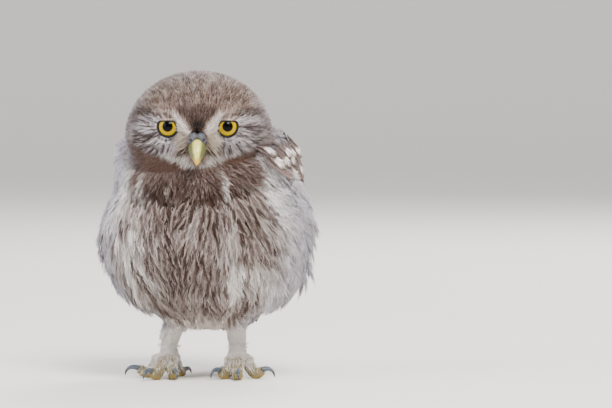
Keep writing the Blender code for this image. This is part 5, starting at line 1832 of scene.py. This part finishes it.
def scute_tree(material):
    """Scutes: a low rounded plate on each point, turned along the toe and set flat on its back."""
    tree, add, given = geometry_tree("Scutes", (("Length", "NodeSocketFloat"), ("Seed", "NodeSocketInt")))
    round_plate = {"Segments": 14, "Rings": 8, "Radius": out(given, "Length")}
    ball = add("GeometryNodeMeshUVSphere", round_plate)
    flat = add("GeometryNodeTransform", {"Geometry": ball, "Scale": (0.62, 1.05, 0.34)})
    upright = add(ALIGN, {"Vector": add(CARRIED, {"Name": "rise"})}, axis="Z")
    ahead = {"Rotation": upright, "Vector": add(CARRIED, {"Name": "way"})}
    turned = add(ALIGN, ahead, axis="X", pivot_axis="Z")
    finish_tree(add, given, flat, turned, 0.85, 1.08, material)
    return tree


def toe_ways(word, toe):
    """Middle of a toe, and the level way from it towards its claw."""
    middle = middle_of(f"toe_{word}_{toe}")
    way = middle_of(f"claw_{word}_{toe}") - middle
    way[2] = 0.0
    return middle, unit(way)


class OWL_OT_feet(bpy.types.Operator):
    """Make the scaly feet, the plates along the toes and the sparse down on them"""

    bl_idname = "owl.feet"
    bl_label = "Feet"

    def execute(self, context):
        sizes, colours = context.scene.owl_sizes, context.scene.owl_colours
        material = toe_material(colours)
        # Hard keratin plate: of one colour and a little glossier than the skin round it
        plates_material, _, shader = start_material("hard toe plate", 0.45, Specular_IOR_Level=0.4)
        shader.inputs["Base Color"].default_value = colours.toe_back
        down = down_material(colours)
        tree = scute_tree(plates_material)
        for word in SIDES.values():
            nodes = ["foot_" + word] + [f"toe_{word}_{toe}" for toe in TOES]
            foot = remeshed(merged_copy("foot_skin_" + word, nodes, FOOT_FUSE * MM), FOOT_GRAIN * MM, steps=4)
            points, normals = point_arrays(foot.data)
            ankle = smooth(11.0, 15.0, points[:, 2] / MM)
            points = points - normals * ((FOOT_FUSE + ANKLE_DEPTH * ankle) * MM)[:, None]
            points[:, 2] = np.maximum(points[:, 2], 0.0)
            set_points(foot.data, points)
            settle(surfaced(foot, material), "toe_skin", *nodes)
            surface = BVHTree.FromObject(foot, context.evaluated_depsgraph_get())
            spots, ways, ups = [], [], []
            for toe in TOES:
                middle, way = toe_ways(word, toe)
                for step in range(-3, 6):
                    above = middle + way * step * sizes.scute_length + UP * 30.0 * MM
                    hit = surface.ray_cast(Vector(above), Vector(-UP))
                    if hit[0] and PLATE_LOW * MM < hit[0].z < PLATE_HIGH * MM:
                        spots.append(np.array(hit[0]) - np.array(hit[1]) * PLATE_SUNK * MM)
                        ways.append(way)
                        ups.append(hit[1])
            values = {"Length": sizes.scute_length, "Seed": 3}
            settle(grown_by_tree("toe_plates_" + word, spots, ways, ups, tree, values), "toe_skin")
            self.grow_down(foot, word, down)
        return {"FINISHED"}

    def grow_down(self, foot, word, material):
        """White down over the foot as dense as on the leg, thinning out along the toes."""
        field = Field(foot.data)
        ankle = middle_of("foot_" + word)
        height = field.middles[:, 2] / MM
        reach = lengths((field.middles - ankle)[:, :2]) / MM
        facing_up = field.middle_normals[:, 2]
        weights = smooth(3.0, 6.0, height) * (0.10 + smooth(11.5, 5.0, reach))
        weights *= smooth(-0.3, 0.3, facing_up + 1.2 * smooth(10.0, 13.0, height))
        weights *= (facing_up < 0.9) | (height < ANKLE_HEIGHT - 2.5)
        coat = TOE_COAT._replace(name="down_toes_" + word, seed=TOE_COAT.seed + len(word))
        roots, normals = field.scatter(coat.feathers, weights, coat.seed)
        away = roots - ankle
        away[:, 2] = 0.0
        lies = along_surface(unit(away) * 0.8 - UP * 0.9, normals)
        arrays = down_arrays(coat, roots, normals, lies, unwrapped(TOE_COAT.name, roots))
        settle(piece_from_arrays(coat.name, material, *arrays), coat.slot)


def claw_material(colours):
    """Claw horn: hard layered keratin, polished by use, slate blue at the root and black at the tip."""
    material, add, shader = start_material("polished claw horn", 0.26, Coat_Weight=0.5, Coat_Roughness=0.12)
    place = out(add(PLACE), "Object")
    spot = add(PARTS, (place,))
    layers = add(NOISE, {"Vector": place, "Scale": 1.0 / (1.1 * MM), "Detail": 4.0})
    root = add(RANGE, (out(spot, "Z"), 1.5 * MM, 6.8 * MM))
    colour = add(MIX, (root, colours.claw_tip, colours.claw_root))
    streaks = add(RANGE, (out(layers, "Fac"), 0.45, 0.8, 0.0, 0.4))
    colour = add(MIX, (streaks, colour, colours.claw_tip))
    relief = add(BUMP, {"Height": out(layers, "Fac"), "Distance": 0.06 * MM, "Strength": 0.35})
    feed(shader, {"Base Color": colour, "Normal": relief})
    return material


class OWL_OT_claws(bpy.types.Operator):
    """Make the smooth, glossy claws"""

    bl_idname = "owl.claws"
    bl_label = "Claws"

    def execute(self, context):
        material = claw_material(context.scene.owl_colours)
        for word in SIDES.values():
            for toe in TOES:
                node = f"claw_{word}_{toe}"
                claw = merged_copy(f"talon_{word}_{toe}", [node])
                rounder = claw.modifiers.new("rounder", "SUBSURF")
                rounder.levels = rounder.render_levels = 2
                evaluated_mesh(claw)
                settle(surfaced(claw, material), "claw_horn", node)
        return {"FINISHED"}


# Stage

# The point under the body's middle stands at this pixel of a picture of this size
PICTURE = (612.0, 408.0)
FEET_AT = (206.0, 378.0)
SENSOR = 36.0
# Studio floor: flat out to the first radius, then curved up to the wall's foot and on to its top
COVE_FLAT, COVE_WALL, COVE_TOP = 3.4, 4.6, 3.2
# Soft lights: name, place, size, power in watts and colour, and the point that all of them face
LIGHTS = (
    ("key", (0.45, -1.15, 1.45), 0.9, 64.0, "#fffaf2"),
    ("fill", (-1.3, -0.8, 0.7), 1.2, 20.0, "#f4f5ff"),
    ("rim", (0.5, 1.3, 1.2), 0.9, 30.0, "#ffffff"),
)
LIGHT_AIM = Vector((0.0, 0.0, 0.09))
SKY_COLOUR, SKY_STRENGTH = "#e8ebf0", 1.08


def floor_material(colours):
    """Matt painted board: an even pale coat with a faint tooth, drawn two millimetres across to show."""
    material, add, shader = start_material("matt painted board", 0.8, Specular_IOR_Level=0.2)
    place = out(add(PLACE), "Object")
    tooth = add(NOISE, {"Vector": place, "Scale": 1.0 / (2.0 * MM)})
    lighter = tuple(min(1.0, 1.05 * c) for c in colours.floor[:3]) + (1.0,)
    colour = add(MIX, (out(tooth, "Fac"), colours.floor, lighter))
    feed(shader, {"Base Color": colour})
    return material


def soft_light(name, place, size, power, colour):
    light = bpy.data.lights.new(name, "AREA")
    light.shape = "DISK"
    light.size = size
    light.energy = power
    light.color = linear(colour)[:3]
    lamp = new_object(name, light)
    lamp.location = place
    lamp.rotation_euler = (LIGHT_AIM - Vector(place)).to_track_quat("-Z", "Y").to_euler()


class OWL_OT_stage(bpy.types.Operator):
    """Set the floor, the soft lights and the camera"""

    bl_idname = "owl.stage"
    bl_label = "Stage"

    def execute(self, context):
        scene, sizes = context.scene, context.scene.owl_sizes
        sweep = [(COVE_FLAT * k / 4.0, 0.0) for k in range(1, 5)]
        bend = COVE_WALL - COVE_FLAT
        for k in range(1, 13):
            turn = math.pi / 2.0 * k / 12.0
            sweep.append((COVE_FLAT + bend * math.sin(turn), bend * (1.0 - math.cos(turn))))
        sweep.append((COVE_WALL, COVE_TOP))
        turns = 96
        turn = np.linspace(0.0, math.tau, turns, endpoint=False)
        rings = [np.stack([r * np.cos(turn), r * np.sin(turn), np.full(turns, z)], axis=1) for r, z in sweep]
        points = np.concatenate([*rings, np.zeros((1, 3))])
        quads = ring_faces(len(sweep), turns)
        around = np.arange(turns)
        hub = np.stack([around, np.roll(around, -1), np.full(turns, len(points) - 1)], axis=1)
        faces = np.concatenate([quads[:, [0, 2, 1]], quads[:, [0, 3, 2]], hub])
        piece_from_arrays("floor", floor_material(scene.owl_colours), points, faces)
        for light in LIGHTS:
            soft_light(*light)
        world = bpy.data.worlds.new("pale studio")
        world.use_nodes = True
        sky = world.node_tree.nodes["Background"]
        sky.inputs["Color"].default_value = linear(SKY_COLOUR)
        sky.inputs["Strength"].default_value = SKY_STRENGTH
        scene.world = world
        camera = bpy.data.cameras.new("camera")
        camera.lens = sizes.lens
        camera.sensor_width = SENSOR
        eye = new_object("camera", camera)
        lean = sizes.camera_height_angle
        back = Vector((0.0, -math.cos(lean), math.sin(lean)))
        rise = Vector((0.0, math.sin(lean), math.cos(lean)))
        per_pixel = SENSOR / sizes.lens * sizes.camera_distance / PICTURE[0]
        right = (PICTURE[0] / 2.0 - FEET_AT[0]) * per_pixel
        above = (FEET_AT[1] - PICTURE[1] / 2.0) * per_pixel
        under = Vector((PART_ZERO[0] + right, PART_ZERO[1], 0.0))
        eye.location = under + back * sizes.camera_distance + rise * above
        eye.rotation_euler = (-back).to_track_quat("-Z", "Y").to_euler()
        camera.clip_end = 100.0
        scene.camera = eye
        return {"FINISHED"}


OPERATORS = (
    OWL_OT_stage,
    OWL_OT_skin,
    OWL_OT_eyes,
    OWL_OT_coat,
    OWL_OT_wings,
    OWL_OT_tail,
    OWL_OT_bill,
    OWL_OT_bristles,
    OWL_OT_feet,
    OWL_OT_claws,
)


class OWL_PT_panel(bpy.types.Panel):
    """Sizes, colours and the steps that dress the owl"""

    bl_idname = "OWL_PT_panel"
    bl_label = "Fledgling Owl"
    bl_space_type = "VIEW_3D"
    bl_region_type = "UI"
    bl_category = "Owl"

    def draw(self, context):
        column = self.layout.column()
        for operator in OPERATORS:
            column.operator(operator.bl_idname)
        for group in (context.scene.owl_sizes, context.scene.owl_colours):
            box = self.layout.box()
            for name in group.bl_rna.properties.keys():
                if name not in ("rna_type", "name"):
                    box.prop(group, name)


CLASSES = (OwlSizes, OwlColours, *OPERATORS, OWL_PT_panel)


def register():
    for each in CLASSES:
        bpy.utils.register_class(each)
    bpy.types.Scene.owl_sizes = PointerProperty(type=OwlSizes)
    bpy.types.Scene.owl_colours = PointerProperty(type=OwlColours)


def unregister():
    del bpy.types.Scene.owl_colours
    del bpy.types.Scene.owl_sizes
    for each in reversed(CLASSES):
        bpy.utils.unregister_class(each)


def main():
    register()
    for operator in OPERATORS:
        group, action = operator.bl_idname.split(".")
        getattr(getattr(bpy.ops, group), action)()


if __name__ == "__main__":
    main()
